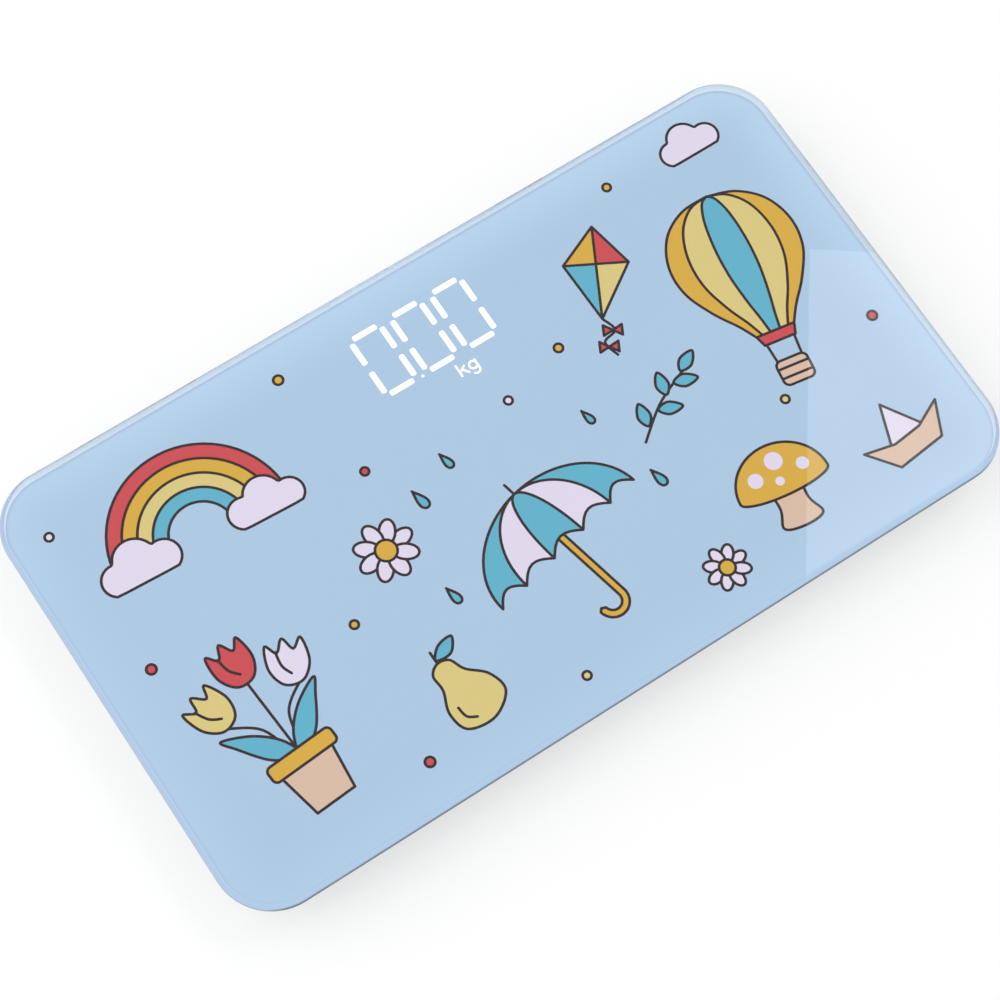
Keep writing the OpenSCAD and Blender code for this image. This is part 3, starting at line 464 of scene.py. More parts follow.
def run_tree(tree, name, values, source=None):
    holder = bpy.data.objects.new(name, source or bpy.data.meshes.new(name))
    scene.collection.objects.link(holder)
    modifier = holder.modifiers.new("rule", "NODES")
    modifier.node_group = tree
    for item in tree.interface.items_tree:
        if item.in_out == "INPUT" and item.name in values:
            modifier[item.identifier] = values[item.name]
    depsgraph = bpy.context.evaluated_depsgraph_get()
    made = bpy.data.meshes.new_from_object(holder.evaluated_get(depsgraph))
    made.name = name
    made.polygons.foreach_set("material_index", [0] * len(made.polygons))
    made.materials.clear()
    made.materials.append(values["Material"])
    holder.modifiers.remove(modifier)
    holder.data = made
    print(name, "has", len(made.polygons), "faces")
    return holder


# %% [markdown]
# ## The glass plate
# The platform is 5 mm float glass, cut with round corners, ground along its edge and then
# toughened. Its shape is a rule: a rounded rectangle carried round by an arc, with a flat
# face above and below. The faces and the round edge are polished. Along the edge the colour goes
# by height: clear near the top face, a thin grey line of painted shade halfway down, painted
# darkest on the two long sides, and below it a painted reflection of the blue enamel. The glass
# shows the enamel through it, so light
# has to pass: shadow rays see it as clear, which is what lets the studio lamps reach the print
# without noise.

# %% Write the rule for the plate
glass_low, glass_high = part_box("glass_platform")
PLATE_L = (glass_high.x - glass_low.x) / MM
PLATE_W = (glass_high.y - glass_low.y) / MM
PLATE_R = 18
EDGE_BULGE = 1.6
PLATE_WELD = 0.001
PRINT_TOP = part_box("print_layer")[1].z / MM
GLASS_TOP = glass_high.z / MM

plate_tree, bench, size = new_tree("plate_rule", {
    "Length": "Float", "Width": "Float", "Corner": "Float", "Thickness": "Float",
    "Bulge": "Float", "Bottom": "Float", "Corner steps": "Int", "Edge steps": "Int",
    "Material": "Material",
})
oblong = rounded_oblong(
    bench, size["Length"] - 2 * size["Bulge"], size["Width"] - 2 * size["Bulge"],
    size["Corner"] - size["Bulge"], size["Corner steps"],
)
oblong = bench.node("GeometryNodeSetCurveNormal", {"Curve": oblong}, mode="Z_UP")
foot = bench.node("ShaderNodeCombineXYZ", {"Z": size["Bottom"]})
lift = bench.node("ShaderNodeCombineXYZ", {"Z": size["Thickness"]})
# A profile's x points outwards and its y downwards
middle = bench.node("ShaderNodeCombineXYZ", {"X": size["Bulge"], "Y": size["Thickness"] * -0.5})
end = bench.node("ShaderNodeCombineXYZ", {"Y": size["Thickness"] * -1})
arc = bench.node("GeometryNodeCurveArc", {
    "Resolution": size["Edge steps"], "Start": (0, 0, 0), "Middle": middle, "End": end,
}, mode="POINTS")
rim = bench.node("GeometryNodeCurveToMesh", {"Curve": oblong, "Profile Curve": arc})
lower = bench.node("GeometryNodeFillCurve", {"Curve": oblong}, mode="NGONS")
upper = bench.node("GeometryNodeSetPosition", {"Geometry": lower, "Offset": lift})
welded = bench.node("GeometryNodeMergeByDistance", {
    "Geometry": join(bench, upper, lower, rim), "Distance": PLATE_WELD * MM,
})
stood = bench.node("GeometryNodeSetPosition", {"Geometry": welded, "Offset": foot})
close_tree(bench, stood, size["Material"])

# %% Mix the glass
GLASS_SHINE = 0.2
GLASS_IOR = 1.5
OPEN_TINT = (0.97, 0.99, 0.985, 1)
CLEAR_TINT = (0.93, 0.985, 0.965, 1)
EDGE_CLEAR = (0.95, 0.985, 0.99, 1)
# The grey edge colours are painted shade, darkest on the long sides; the edge blue is a painted
# reflection of the enamel
EDGE_PAINTED_SHADE = (0.16, 0.20, 0.22, 1)
LONG_EDGE_PAINTED_SHADE = (0.02, 0.03, 0.04, 1)
EDGE_PAINTED_REFLECTION = (0.50, 0.71, 0.97, 1)
LONG_SIDE_WIDTH = 2.5
PAINTED_SHADE_FROM = 1.6
CLEAR_HEIGHT = 3.2
LONG_SIDE_LIFT = 0.55


def face_tint(bench):
    return tinted(bench, noise(bench, 30), shade(CLEAR_TINT, 0.995), CLEAR_TINT)


def edge_tint_and_painted_shade(bench):
    # Paints shade and a reflection into the edge: a grey line of painted shade, darker on the long
    # sides, over a painted blue reflection of the enamel
    _, y, z = axes_of(bench)
    height = z - PRINT_TOP
    long_side = step(abs(y), PLATE_W / 2 - LONG_SIDE_WIDTH, 3)
    grey = tinted(bench, long_side, EDGE_PAINTED_SHADE, LONG_EDGE_PAINTED_SHADE)
    clear = step(height - long_side * LONG_SIDE_LIFT, CLEAR_HEIGHT, 0.6)
    upper = tinted(bench, clear, grey, EDGE_CLEAR)
    return tinted(bench, step(height, PAINTED_SHADE_FROM, 0.3), EDGE_PAINTED_REFLECTION, upper)


def glass(name, tint):
    """Clear glass that lets all the light of the lamps through."""
    material, bench = blank_material(name)
    solid = bench.node("ShaderNodeBsdfPrincipled", {
        "Base Color": tint(bench),
        "Roughness": noise(bench, 3) * 0.02,
        "IOR": GLASS_IOR,
        "Specular IOR Level": GLASS_SHINE,
        "Transmission Weight": 1.0,
    })
    open_way = bench.node("ShaderNodeBsdfTransparent", {"Color": OPEN_TINT})
    lighting = (is_ray(bench, "Shadow") + is_ray(bench, "Diffuse")).at_most(1)
    both = bench.node("ShaderNodeMixShader", {0: lighting, 1: solid, 2: open_way})
    bench.node("ShaderNodeOutputMaterial", {"Surface": both})
    return material


polished_glass = glass("polished_glass", face_tint)
edge_glass_painted_shade = glass("edge_glass_painted_shade", edge_tint_and_painted_shade)

# %% Make the plate
FLAT_ENOUGH = 0.99

plate = run_tree(plate_tree, "glass_plate", {
    "Length": PLATE_L * MM, "Width": PLATE_W * MM, "Corner": PLATE_R * MM,
    "Thickness": (GLASS_TOP - PRINT_TOP) * MM, "Bulge": EDGE_BULGE * MM,
    "Bottom": PRINT_TOP * MM, "Corner steps": 24, "Edge steps": 13,
    "Material": polished_glass,
})
shape = bmesh.new()
shape.from_mesh(plate.data)
bmesh.ops.recalc_face_normals(shape, faces=shape.faces)
for face in shape.faces:
    face.smooth = abs(face.normal.z) < FLAT_ENOUGH
    face.material_index = 1 if face.smooth else 0
for edge in shape.edges:
    edge.smooth = len({face.smooth for face in edge.link_faces}) == 1
shape.to_mesh(plate.data)
shape.free()
plate.data.materials.append(edge_glass_painted_shade)
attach(plate, "base")
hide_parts("glass_platform")

# %% [markdown]
# ## A pen that follows lines
# Every drawn thing has an even dark outline. A Geometry Nodes tree works as the pen: it turns
# a path into a curve, draws a short line along it, and sets a round tip at its ends and at its
# sharp corners. A swept line gets narrow towards a corner, so each sharp corner first gets
# two more points, one close to it on either side. The place in the printing order and the
# round tips travel along each path as attributes.

# %% Write the rule for the pen
pen_tree, bench, size = new_tree("pen_rule", {"Width": "Float", "Material": "Material"})
path = bench.node("GeometryNodeMeshToCurve", {"Mesh": size["Geometry"]})
path = bench.node("GeometryNodeSetCurveNormal", {"Curve": path}, mode="Z_UP")
nib = bench.node("GeometryNodeCurvePrimitiveLine", {
    "Start": bench.node("ShaderNodeCombineXYZ", {"X": size["Width"] * -0.5}),
    "End": bench.node("ShaderNodeCombineXYZ", {"X": size["Width"] * 0.5}),
})
stroke = bench.node("GeometryNodeCurveToMesh", {"Curve": path, "Profile Curve": nib})
tip = bench.node("GeometryNodeMeshCircle", {
    "Vertices": 16, "Radius": size["Width"] * 0.5,
}, fill_type="NGON")
tips = bench.node("GeometryNodeInstanceOnPoints", {
    "Points": path, "Instance": tip,
    "Selection": carried(bench, "tipped", "BOOLEAN"),
})
close_tree(bench, join(bench, stroke, tips), size["Material"])


def with_corners(points, closed, near=0.2, sharp=30):
    """Adds points near to corners that turn by more than sharp degrees, and says which of
    all the points need a round tip."""
    spots = [Vector(point) for point in points]
    path, tipped = [], []
    for i, spot in enumerate(spots):
        before, after = spot - spots[i - 1], spots[(i + 1) % len(spots)] - spot
        if not closed and i in (0, len(spots) - 1):
            path.append(spot)
            tipped.append(True)
        elif before.angle(after, 0) > math.radians(sharp):
            path += [spot - before.normalized() * near, spot, spot + after.normalized() * near]
            tipped += [False, True, False]
        else:
            path.append(spot)
            tipped.append(False)
    return path, tipped


def pen_marks(lines, width, material):
    """The flat outlines that a pen leaves along (order, closed, points) lines."""
    spots, edges, orders, tips = [], [], [], []
    for order, closed, points in lines:
        first = len(spots)
        points, tipped = with_corners(points, closed)
        tips += tipped
        spots += [(x * MM, y * MM, 0) for x, y in points]
        orders += [order] * len(points)
        edges += [(i, i + 1) for i in range(first, len(spots) - 1)]
        if closed:
            edges.append((len(spots) - 1, first))
    paths = bpy.data.meshes.new("pen_paths")
    paths.from_pydata(spots, edges, [])
    carry(paths, "order", orders)
    carry(paths, "tipped", tips, "BOOLEAN")
    marks = run_tree(pen_tree, "pen_marks", {"Width": width * MM, "Material": material}, paths)
    values = marks.data.attributes["order"].data
    outlines = []
    for face in marks.data.polygons:
        corners = [marks.data.vertices[i].co / MM for i in face.vertices]
        order = round(values[face.vertices[0]].value)
        outlines.append((order, "line", [(corner.x, corner.y) for corner in corners]))
    bpy.data.objects.remove(marks)
    return outlines


# %% [markdown]
# ## Tools for drawing the print
# The print is a spaced-out set of everyday things in flat inks with an even dark outline. Each
# thing is drawn in millimetres around its own middle, from soft curves, ellipses and copies
# of one side line, and is then set down on the plate with a place, a turn and a size. Later
# areas cover earlier ones, just as later passes of ink would.

# %% Draw soft lines and simple shapes
def smooth(points, closed=True, steps=8):
    """A soft line through the points."""
    count = len(points)
    line = []
    for i in range(count if closed else count - 1):
        near = [i - 1, i, i + 1, i + 2]
        if closed:
            near = [k % count for k in near]
        else:
            near = [min(max(k, 0), count - 1) for k in near]
        corners = [points[k] for k in near]
        for part in range(steps):
            t = part / steps
            line.append(tuple(
                0.5 * (2 * q + (r - p) * t + (2 * p - 5 * q + 4 * r - s) * t ** 2
                       + (3 * q - p - 3 * r + s) * t ** 3)
                for p, q, r, s in zip(*corners)
            ))
    return line if closed else line + [tuple(points[-1])]


def oval(x, y, wide, high=None, start=0, sweep=360, steps=32):
    """An ellipse about a point, or a part of one from a starting angle."""
    high = high or wide
    angles = [math.radians(start + sweep * i / steps) for i in range(steps + 1)]
    points = [(x + wide * math.cos(a), y + high * math.sin(a)) for a in angles]
    return points[:-1] if abs(sweep) == 360 else points


def moved(points, x, y, turn=0, scale=1):
    c = math.cos(math.radians(turn)) * scale
    s = math.sin(math.radians(turn)) * scale
    return [(x + c * px - s * py, y + s * px + c * py) for px, py in points]


def cloud(circles, base, steps=90):
    """Circles run together into one outline, cut flat at the base."""
    middle_x = sum(c[0] for c in circles) / len(circles)
    middle_y = base + 1.5
    line = []
    for i in range(steps):
        angle = math.radians(360 * i / steps)
        across, up = math.cos(angle), math.sin(angle)
        reach = 0
        for x, y, radius in circles:
            along = (x - middle_x) * across + (y - middle_y) * up
            aside = (x - middle_x) * up - (y - middle_y) * across
            if abs(aside) < radius:
                reach = max(reach, along + math.sqrt(radius ** 2 - aside ** 2))
        if up < 0:
            to_base = (base - middle_y) / up
            over_base = circles[0][0] < middle_x + to_base * across < circles[-1][0]
            reach = to_base if over_base else min(reach, to_base)
        line.append((middle_x + reach * across, middle_y + reach * up))
    return line


def drop(height, steps=24):
    angles = [math.radians(360 * i / steps) for i in range(steps)]
    return [(0.62 * height * math.sin(a) * math.sin(a / 2) ** 1.6, height * math.cos(a))
            for a in angles]


# %% Keep a list of inked areas and lines
class Drawing:
    """Areas of one ink and outlines, in the order in which they're printed."""

    def __init__(self):
        self.areas = []
        self.lines = []
        self.place = (0, 0, 0, 1)

    def at(self, x, y, turn=0, scale=1):
        self.place = (x, y, turn, scale)

    def line(self, points, closed=False):
        order = len(self.areas) + len(self.lines)
        self.lines.append((order, closed, moved(points, *self.place)))

    def area(self, ink, outline, lined=True):
        order = len(self.areas) + len(self.lines)
        self.areas.append((order, ink, moved(outline, *self.place)))
        if lined:
            self.line(outline, True)

    def panels(self, side, shares, inks, hem=0, steps=8):
        """Panels between copies of one side line, each pulled in to its share of the width."""
        for left, right, ink in zip(shares, shares[1:], inks):
            end_x, end_y = side[-1]
            hem_line = [
                (end_x * (left + (right - left) * i / steps),
                 end_y + hem * math.sin(math.pi * i / steps))
                for i in range(1, steps)
            ]
            down = [(x * left, y) for x, y in side]
            up = [(x * right, y) for x, y in reversed(side)]
            self.area(ink, down + hem_line + up[:-1])


drawing = Drawing()

# %% [markdown]
# ## Four large motifs
# A balloon, a rainbow, an umbrella and a pot of tulips carry the eye across the plate. The
# balloon and the umbrella are both made of panels, so they share one helper: a side line is
# copied across, and each copy is pulled in to its share of the width.

# %% Balloon
drawing.at(97, 12, -9, 1.02)
side = smooth([(0, 31), (9, 29.2), (16.5, 23.5), (20.3, 14.5), (19.6, 5), (14.8, -4),
               (9.4, -11), (6.2, -16)], closed=False)
drawing.line([(-4.6, -18), (-3.9, -26)])
drawing.line([(4.6, -18), (3.9, -26)])
drawing.panels(side, (-1, -0.68, -0.25, 0.25, 0.68, 1),
               ("mustard", "pale_yellow", "teal", "pale_yellow", "mustard"))
drawing.area("coral", [(-6.2, -16), (6.2, -16), (5, -19.4), (-5, -19.4)])
drawing.area("peach", rounded_rectangle(10, 8, 1.8, 5, at=(0, -29.5)))
for height in (-28, -31):
    drawing.line([(-4.8, height), (4.8, height)])

# %% Rainbow between two clouds
drawing.at(-84, 33, -3, 1.0)
for ink, outer in (("coral", 28), ("mustard", 23.5), ("pale_yellow", 19), ("teal", 14.5)):
    inner = oval(0, 0, outer - 4.5, start=180, sweep=-180)
    drawing.area(ink, oval(0, 0, outer, sweep=180) + inner)
for side_x, circles in ((-20, [(-8, 0.4, 5), (-1, 3.6, 6.6), (7, 0.6, 5.2)]),
                        (20.5, [(-7, 0.6, 5), (0.5, 3, 6), (7.6, 0, 4.6)])):
    drawing.area("lavender_white", moved(cloud(circles, -4), side_x, -1))

# %% Umbrella
drawing.at(4, -27, 13, 1.0)
handle = [(-1.1, 4), *oval(-3.9, -21, 2.8, start=0, sweep=-180, steps=16),
          (-7.9, -20.2), *oval(-3.9, -21, 5, start=180, sweep=180, steps=20), (1.1, 4)]
drawing.area("mustard", handle)
side = oval(0, 0, 28, 22, start=90, sweep=-90, steps=20)
drawing.line([(0, 20), (0, 26)])
drawing.panels(side, (-1, -0.64, -0.22, 0.22, 0.64, 1),
               ("teal", "lavender_white", "teal", "lavender_white", "teal"), hem=3.4)

# %% Pot of tulips
TULIP = smooth([(-5.6, 7.2), (-2.6, 4.2), (0, 8.2), (2.6, 4.2), (5.6, 7.2), (6.4, 0),
                (3.8, -5.2), (0, -6.6), (-3.8, -5.2), (-6.4, 0)], steps=5)
drawing.at(-96, -30, 4, 0.96)
for tip_x, tip_y, lean, ink in ((-13.5, 17, 20, "pale_yellow"),
                                (13.5, 16, -20, "lavender_white"), (0, 25, 0, "coral")):
    stalk = [(tip_x * 0.1, -9), (tip_x * 0.35, 4), (tip_x, tip_y - 6)]
    drawing.line(smooth(stalk, closed=False))
    drawing.area(ink, moved(TULIP, tip_x, tip_y, lean))
    drawing.line(moved(smooth([(-2.9, 4.6), (-2.2, 0), (0, -3)], closed=False),
                       tip_x, tip_y, lean))
for turn in (1, -1):
    leaf = smooth([(0, -9), (8, -5), (14.5, 4), (17, 8.5), (8.5, 4.5), (2, -2)])
    drawing.area("teal", [(x * turn, y) for x, y in leaf])
drawing.area("peach", [(-9.4, -9), (9.4, -9), (6.8, -26), (-6.8, -26)])
drawing.area("mustard", rounded_rectangle(23, 5.4, 1.6, 5, at=(0, -9)))

# %% [markdown]
# ## Small motifs
# Smaller things fill the gaps at a quieter size. They are spread so that the digits keep clear
# blue around them.

# %% Kite, mushroom and pear
drawing.at(60, 41, -28, 0.95)
for ink, corners in (("coral", ((0, 15), (10.5, 2))), ("pale_yellow", ((10.5, 2), (0, -17))),
                     ("teal", ((0, -17), (-10.5, 2))), ("mustard", ((-10.5, 2), (0, 15)))):
    drawing.area(ink, [(0, 2), *corners])
drawing.line(smooth([(0, -17), (3.6, -21), (0, -25), (3.6, -29.5)], closed=False))
for x, y in ((2.9, -21), (1.2, -26.6)):
    drawing.area("coral", [(x, y), (x - 3, y + 1.8), (x - 3, y - 1.8)])
    drawing.area("coral", [(x, y), (x + 3, y + 1.8), (x + 3, y - 1.8)])

drawing.at(68, -46, -7, 0.95)
drawing.area("peach", smooth([(-4.4, 3), (-5, -7), (-6.8, -13), (0, -14.6), (6.8, -13),
                              (5, -7), (4.4, 3)]))
drawing.area("mustard", oval(0, 0, 15.5, 14, sweep=180) + oval(0, 0, 15.5, 3.4, 180, 180)[1:-1])
for x, y, radius in ((-7.6, 4.8, 2.5), (0.6, 8.4, 3), (8.6, 4, 2.1), (-0.6, 1.6, 1.5)):
    drawing.area("lavender_white", oval(x, y, radius, steps=20), lined=False)

drawing.at(-46, -47, 14, 0.95)
drawing.line([(0, 10), (1.2, 15)])
drawing.area("teal", moved(smooth([(0, 0), (4, 2.8), (9, 2), (5, -1.6)]), 0.6, 12))
drawing.area("pale_yellow", smooth([(0, 11), (3.6, 9.2), (4.8, 4), (8.8, -2.4), (8.4, -9.6),
                                    (0, -13), (-8.4, -9.6), (-8.8, -2.4), (-4.8, 4),
                                    (-3.6, 9.2)]))
drawing.line(smooth([(-5.6, -3), (-5.8, -6.6), (-3.6, -9)], closed=False))

# %% Daisies, leaves, cloud, boat and drops
PETALS = 8
for x, y, scale in ((-42, 0, 1.15), (39, -58, 0.85)):
    drawing.at(x, y, 10, scale)
    for petal in range(PETALS):
        outline = moved(oval(5, 0, 3.4, 2.1, steps=20), 0, 0, 360 * petal / PETALS)
        drawing.area("lavender_white", outline)
    drawing.area("mustard", oval(0, 0, 2.9, steps=20))

drawing.at(52, -6, 28, 1.0)
drawing.line(smooth([(-13, -1), (0, 1), (13, 0)], closed=False))
for x, turn in ((-8, 52), (-2, -50), (3.5, 50), (8, -46), (12.4, 0)):
    leaf = smooth([(0, 0), (3.4, 2), (7.6, 0), (3.4, -2)], steps=6)
    drawing.area("teal", moved(leaf, x, 0.6, turn))

drawing.at(108, 60, 0, 0.8)
drawing.area("lavender_white", cloud([(-8, 0.4, 5), (-1, 3.6, 6.6), (7, 0.6, 5.2)], -4))

drawing.at(108, -52, 6, 0.95)
drawing.area("lavender_white", [(-6.5, -1), (0, 12), (6.5, -1)])
drawing.area("peach", [(-15, 2.5), (-5, -1), (5, -1), (15, 2.5), (8.5, -8), (-8.5, -8)])

for x, y, height in ((-25, 8, 3.4), (-33, -22, 3), (38, -24, 3.2), (31, 3, 2.6),
                     (-12, 14, 2.8)):
    drawing.at(x, y, 13)
    drawing.area("teal", drop(height))
for x, y, radius, ink in ((-118, 6, 1.5, "coral"), (-62, -14, 1.3, "mustard"),
                          (-66, -60, 1.5, "coral"), (-14, -63, 1.3, "pale_yellow"),
                          (-40, 62, 1.5, "mustard"), (-34, 24, 1.3, "coral"),
                          (78, 62, 1.3, "mustard"), (122, -16, 1.5, "coral"),
                          (84, -24, 1.3, "pale_yellow"), (14, 20, 1.3, "lavender_white"),
                          (36, 26, 1.4, "mustard"), (-122, 56, 1.3, "lavender_white")):
    drawing.at(x, y)
    drawing.area(ink, oval(0, 0, radius, steps=16))
print("drawing:", len(drawing.areas), "areas and", len(drawing.lines), "lines")

# %% [markdown]
# ## The enamel under the glass
# The print is enamel, fired onto the back of the glass in one layer: blue over all of it, and
# the inks of the drawing. The CAD has a clear window over the digits, but the same blue runs
# over it, so one sheet stands for both. Near the edges the blue is painted paler, as painted
# light, and its very border, where the enamel ends, is a thin darker line. Both follow the
# distance to the rounded outline, and the painted light is stronger on the two far sides. The
# glass takes some light and adds a faint reflection, so the inks are mixed a little stronger
# than they should look. Fired enamel grows into the glass, so the sheet stands a few hundredths
# of a millimetre up into the plate, and no thin film of air lies between the two.

# %% Mix the blue
PRINT_INSET = 1.65
SHEET_L = PLATE_L - 2 * PRINT_INSET
SHEET_W = PLATE_W - 2 * PRINT_INSET
SHEET_R = PLATE_R - PRINT_INSET
REFLECTED = 0.04
PASSED = (0.92, 0.96, 0.92)
LEAST_SHARE = 0.7
BLUE = "B1CBE2"
# The paler blue near the edges is painted light
PAINTED_LIGHT_BLUE = "BDD8EE"
BORDER_BLUE = "AEC3E0"
PAINTED_LIGHT_REACH = 18
PAINTED_LIGHT_POWER = 1.5
NEAR_SIDES_LIT = 0.4
BORDER_WIDTH = 1.2


def under_glass(code):
    """The colour to print so that it looks like this one through the glass."""
    wanted = srgb(code)
    mixed = [(c - REFLECTED) / share for c, share in zip(wanted, PASSED)]
    return (*(max(m, c * LEAST_SHARE) for m, c in zip(mixed, wanted)), 1)


def depth_inside(bench):
    """How far a point lies inside the sheet's rounded outline, in millimetres."""
    x, y, _ = axes_of(bench)
    past_x = abs(x) - (SHEET_L / 2 - SHEET_R)
    past_y = abs(y) - (SHEET_W / 2 - SHEET_R)
    corner = (past_x.at_least(0) ** 2 + past_y.at_least(0) ** 2) ** 0.5
    flank = past_x.at_least(past_y).at_most(0)
    return SHEET_R - corner - flank


def blue_recipe(bench, base):
    depth = depth_inside(bench)
    x, y, _ = axes_of(bench)
    # Painted light: the blue is painted paler near the edges, and more so on the two far sides
    far_side = step(x / PLATE_L + y / PLATE_W, 0, 0.5)
    lit_side = far_side * (1 - NEAR_SIDES_LIT) + NEAR_SIDES_LIT
    painted_light = (1 - depth / PAINTED_LIGHT_REACH).at_least(0) ** PAINTED_LIGHT_POWER * lit_side
    border = (BORDER_WIDTH - depth).at_least(0).at_most(1)
    pale = tinted(bench, painted_light, base, under_glass(PAINTED_LIGHT_BLUE))
    return tinted(bench, border, pale, under_glass(BORDER_BLUE))


def ink(name, code, recipe=None):
    return finish(name, under_glass(code), 0.45, patch=40, shift=0.012, grain=0.12,
                  relief=0.002, recipe=recipe, Specular_IOR_Level=0.0)


inks = {
    "blue": ink("blue_enamel", BLUE, blue_recipe),
    "line": ink("brown_line_ink", "2F1018"),
    "mustard": ink("mustard_ink", "DBAF45"),
    "pale_yellow": ink("pale_yellow_ink", "DDCB85"),
    "teal": ink("teal_ink", "69B5CB"),
    "peach": ink("peach_ink", "DCBFA9"),
    "coral": ink("coral_ink", "CF525B"),
    "lavender_white": ink("lavender_white_ink", "E3DBEC"),
}

# %% Print the sheet
LINE_WIDTH = 0.85
FUSED = 0.03
print_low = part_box("print_layer")[0].z / MM
outlines = [(-1, "blue", rounded_rectangle(SHEET_L, SHEET_W, SHEET_R))]
outlines += drawing.areas + pen_marks(drawing.lines, LINE_WIDTH, inks["line"])
spots, triangles, tones = one_layer(outlines)
shape, tops = slab(spots, triangles, print_low, PRINT_TOP + FUSED)
for face, tone in zip(tops, tones):
    face.material_index = list(inks).index(tone)
enamel_sheet = piece_from(shape, "enamel_sheet", inks.values())
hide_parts("print_layer", "display_window")

# %% [markdown]
# ## The lit digits
# Bars of light shine through the enamel and read zero. Every bar is the same shape, a rod
# with round ends, so a Geometry Nodes tree makes one and copies it to a point for each lit
# bar. Two attributes of the points say how far each copy turns and how long it is.

# %% Write the rule for the bars
DIGIT_H = 22.3
DIGIT_W = 12.2
DIGIT_PITCH = 14.25
DIGITS_AT = (4.0, 50.8)
BAR_W = 1.75
BAR_L = 8.3
BAR_ROUND = 0.36
POST_L = 7.8
POST_AT = 5.28
LIGHT_Z = PRINT_TOP + FUSED + 0.01
LIGHT_T = 0.02

bar_tree, bench, size = new_tree("bar_rule", {
    "Length": "Float", "Width": "Float", "Thickness": "Float", "Material": "Material",
})
oblong = rounded_oblong(bench, size["Length"], size["Width"], size["Width"] * BAR_ROUND, 8)
flat = bench.node("GeometryNodeFillCurve", {"Curve": oblong}, mode="NGONS")
rise = bench.node("ShaderNodeCombineXYZ", {"Z": size["Thickness"]})
raised = bench.node("GeometryNodeExtrudeMesh", {
    "Mesh": flat, "Offset": rise, "Offset Scale": 1.0, "Individual": False,
})
bottom = bench.node("GeometryNodeFlipFaces", {"Mesh": flat})
bar = bench.node("GeometryNodeMergeByDistance", {
    "Geometry": join(bench, raised, bottom), "Distance": SAME_SPOT * MM,
})
turned = bench.node("ShaderNodeCombineXYZ", {"Z": carried(bench, "turn")})
longer = bench.node("ShaderNodeCombineXYZ", {"X": carried(bench, "stretch"), "Y": 1.0, "Z": 1.0})
copies = bench.node("GeometryNodeInstanceOnPoints", {
    "Points": size["Geometry"], "Instance": bar,
    "Rotation": bench.node("FunctionNodeEulerToRotation", {0: turned}), "Scale": longer,
})
close_tree(bench, copies, size["Material"])


# %% Mix the light and set the bars
LIT_GLOW = 0.6
DIFFUSER = (0.70, 0.74, 0.76, 1)
PALE_DIFFUSER = (0.72, 0.76, 0.78, 1)


def lamp_material(name, colour):
    material, bench = blank_material(name)
    spread = noise(bench, 2.0)
    surface = bench.node("ShaderNodeBsdfPrincipled", {
        "Base Color": tinted(bench, spread, DIFFUSER, PALE_DIFFUSER),
        "Roughness": spread * 0.1 + 0.4,
        "Emission Color": tinted(bench, spread, shade(colour, 0.97), colour),
        "Emission Strength": LIT_GLOW,
    })
    bench.node("ShaderNodeOutputMaterial", {"Surface": surface})
    return material


lit = lamp_material("lit_bar", srgb("FCFFFF"))
places, turns, lengths = [], [], []
upright = (DIGIT_H - BAR_W) / 2
sideways = (DIGIT_W - BAR_W) / 2
for digit in (-1, 0, 1):
    x = DIGITS_AT[0] + digit * DIGIT_PITCH
    for level in (-1, 1):
        places.append((x, DIGITS_AT[1] + level * upright, LIGHT_Z))
        turns.append(0)
        lengths.append(BAR_L)
        for side in (-1, 1):
            places.append((x + side * sideways, DIGITS_AT[1] + level * POST_AT, LIGHT_Z))
            turns.append(math.pi / 2)
            lengths.append(POST_L)
points = bpy.data.meshes.new("bar_points")
points.from_pydata([Vector(place) * MM for place in places], [], [])
carry(points, "turn", turns)
carry(points, "stretch", [length / BAR_L for length in lengths])
digit_bars = run_tree(bar_tree, "digit_bars", {
    "Length": BAR_L * MM, "Width": BAR_W * MM, "Thickness": LIGHT_T * MM, "Material": lit,
}, points)
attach(digit_bars, "base")

# %% Light the point and the unit sign
POINT_AT = (-3.1, 40.15)
POINT_R = 0.45
UNIT_WIDTH = 0.62
hook = oval(11.5, 33.5, 1.25, start=0, sweep=-140, steps=14)
unit_lines = [
    (0, False, [(6.8, 37.6), (6.8, 33.8)]),
    (0, False, [(9.0, 36.4), (6.9, 35.0)]),
    (0, False, [(7.9, 35.6), (9.3, 33.8)]),
    (0, True, oval(11.5, 35.2, 1.22, steps=24)),
    (0, False, [(12.75, 36.4), (12.75, 33.6), *hook]),
]
unit = pen_marks(unit_lines, UNIT_WIDTH, lit)
point = [(0, "line", oval(*POINT_AT, POINT_R))]
for name, outlines in (("lit_unit", unit), ("lit_point", point)):
    spots, triangles, _ = one_layer(outlines)
    shape, _ = slab(spots, triangles, LIGHT_Z, LIGHT_Z + LIGHT_T)
    piece_from(shape, name, [lit])

# %% [markdown]
# ## Finishes for the parts that keep their CAD shape
# The tray, the door and the feet are moulded ABS. Their mould was spark-eroded, which leaves
# an even fine dimple, so the grain is small and the gloss low. The button and the feet come
# from a smoother mould. The rubber pads are dyed through, pick up a little dust where they
# touch the floor, and are matt.

# %% Dress the moulded parts
def dress(material, *names):
    """Gives CAD nodes a new material and leaves their shapes alone."""
    for name in names:
        for slot in nodes[name].material_slots:
            slot.material = material
    print(material.name, "on", ", ".join(names))


def at_corners(name):
    return [name + corner for corner in ("front_left", "front_right", "rear_right", "rear_left")]


DUST = srgb("A9A59C")
DUST_HEIGHT = 0.25
MOST_DUST = 0.35


def dusty(bench, base):
    height = axes_of(bench)[2]
    clumps = step(noise(bench, 3.5, 4.0), 0.5, 0.25)
    return tinted(bench, (1 - step(height, DUST_HEIGHT, 0.4)) * clumps * MOST_DUST, base, DUST)


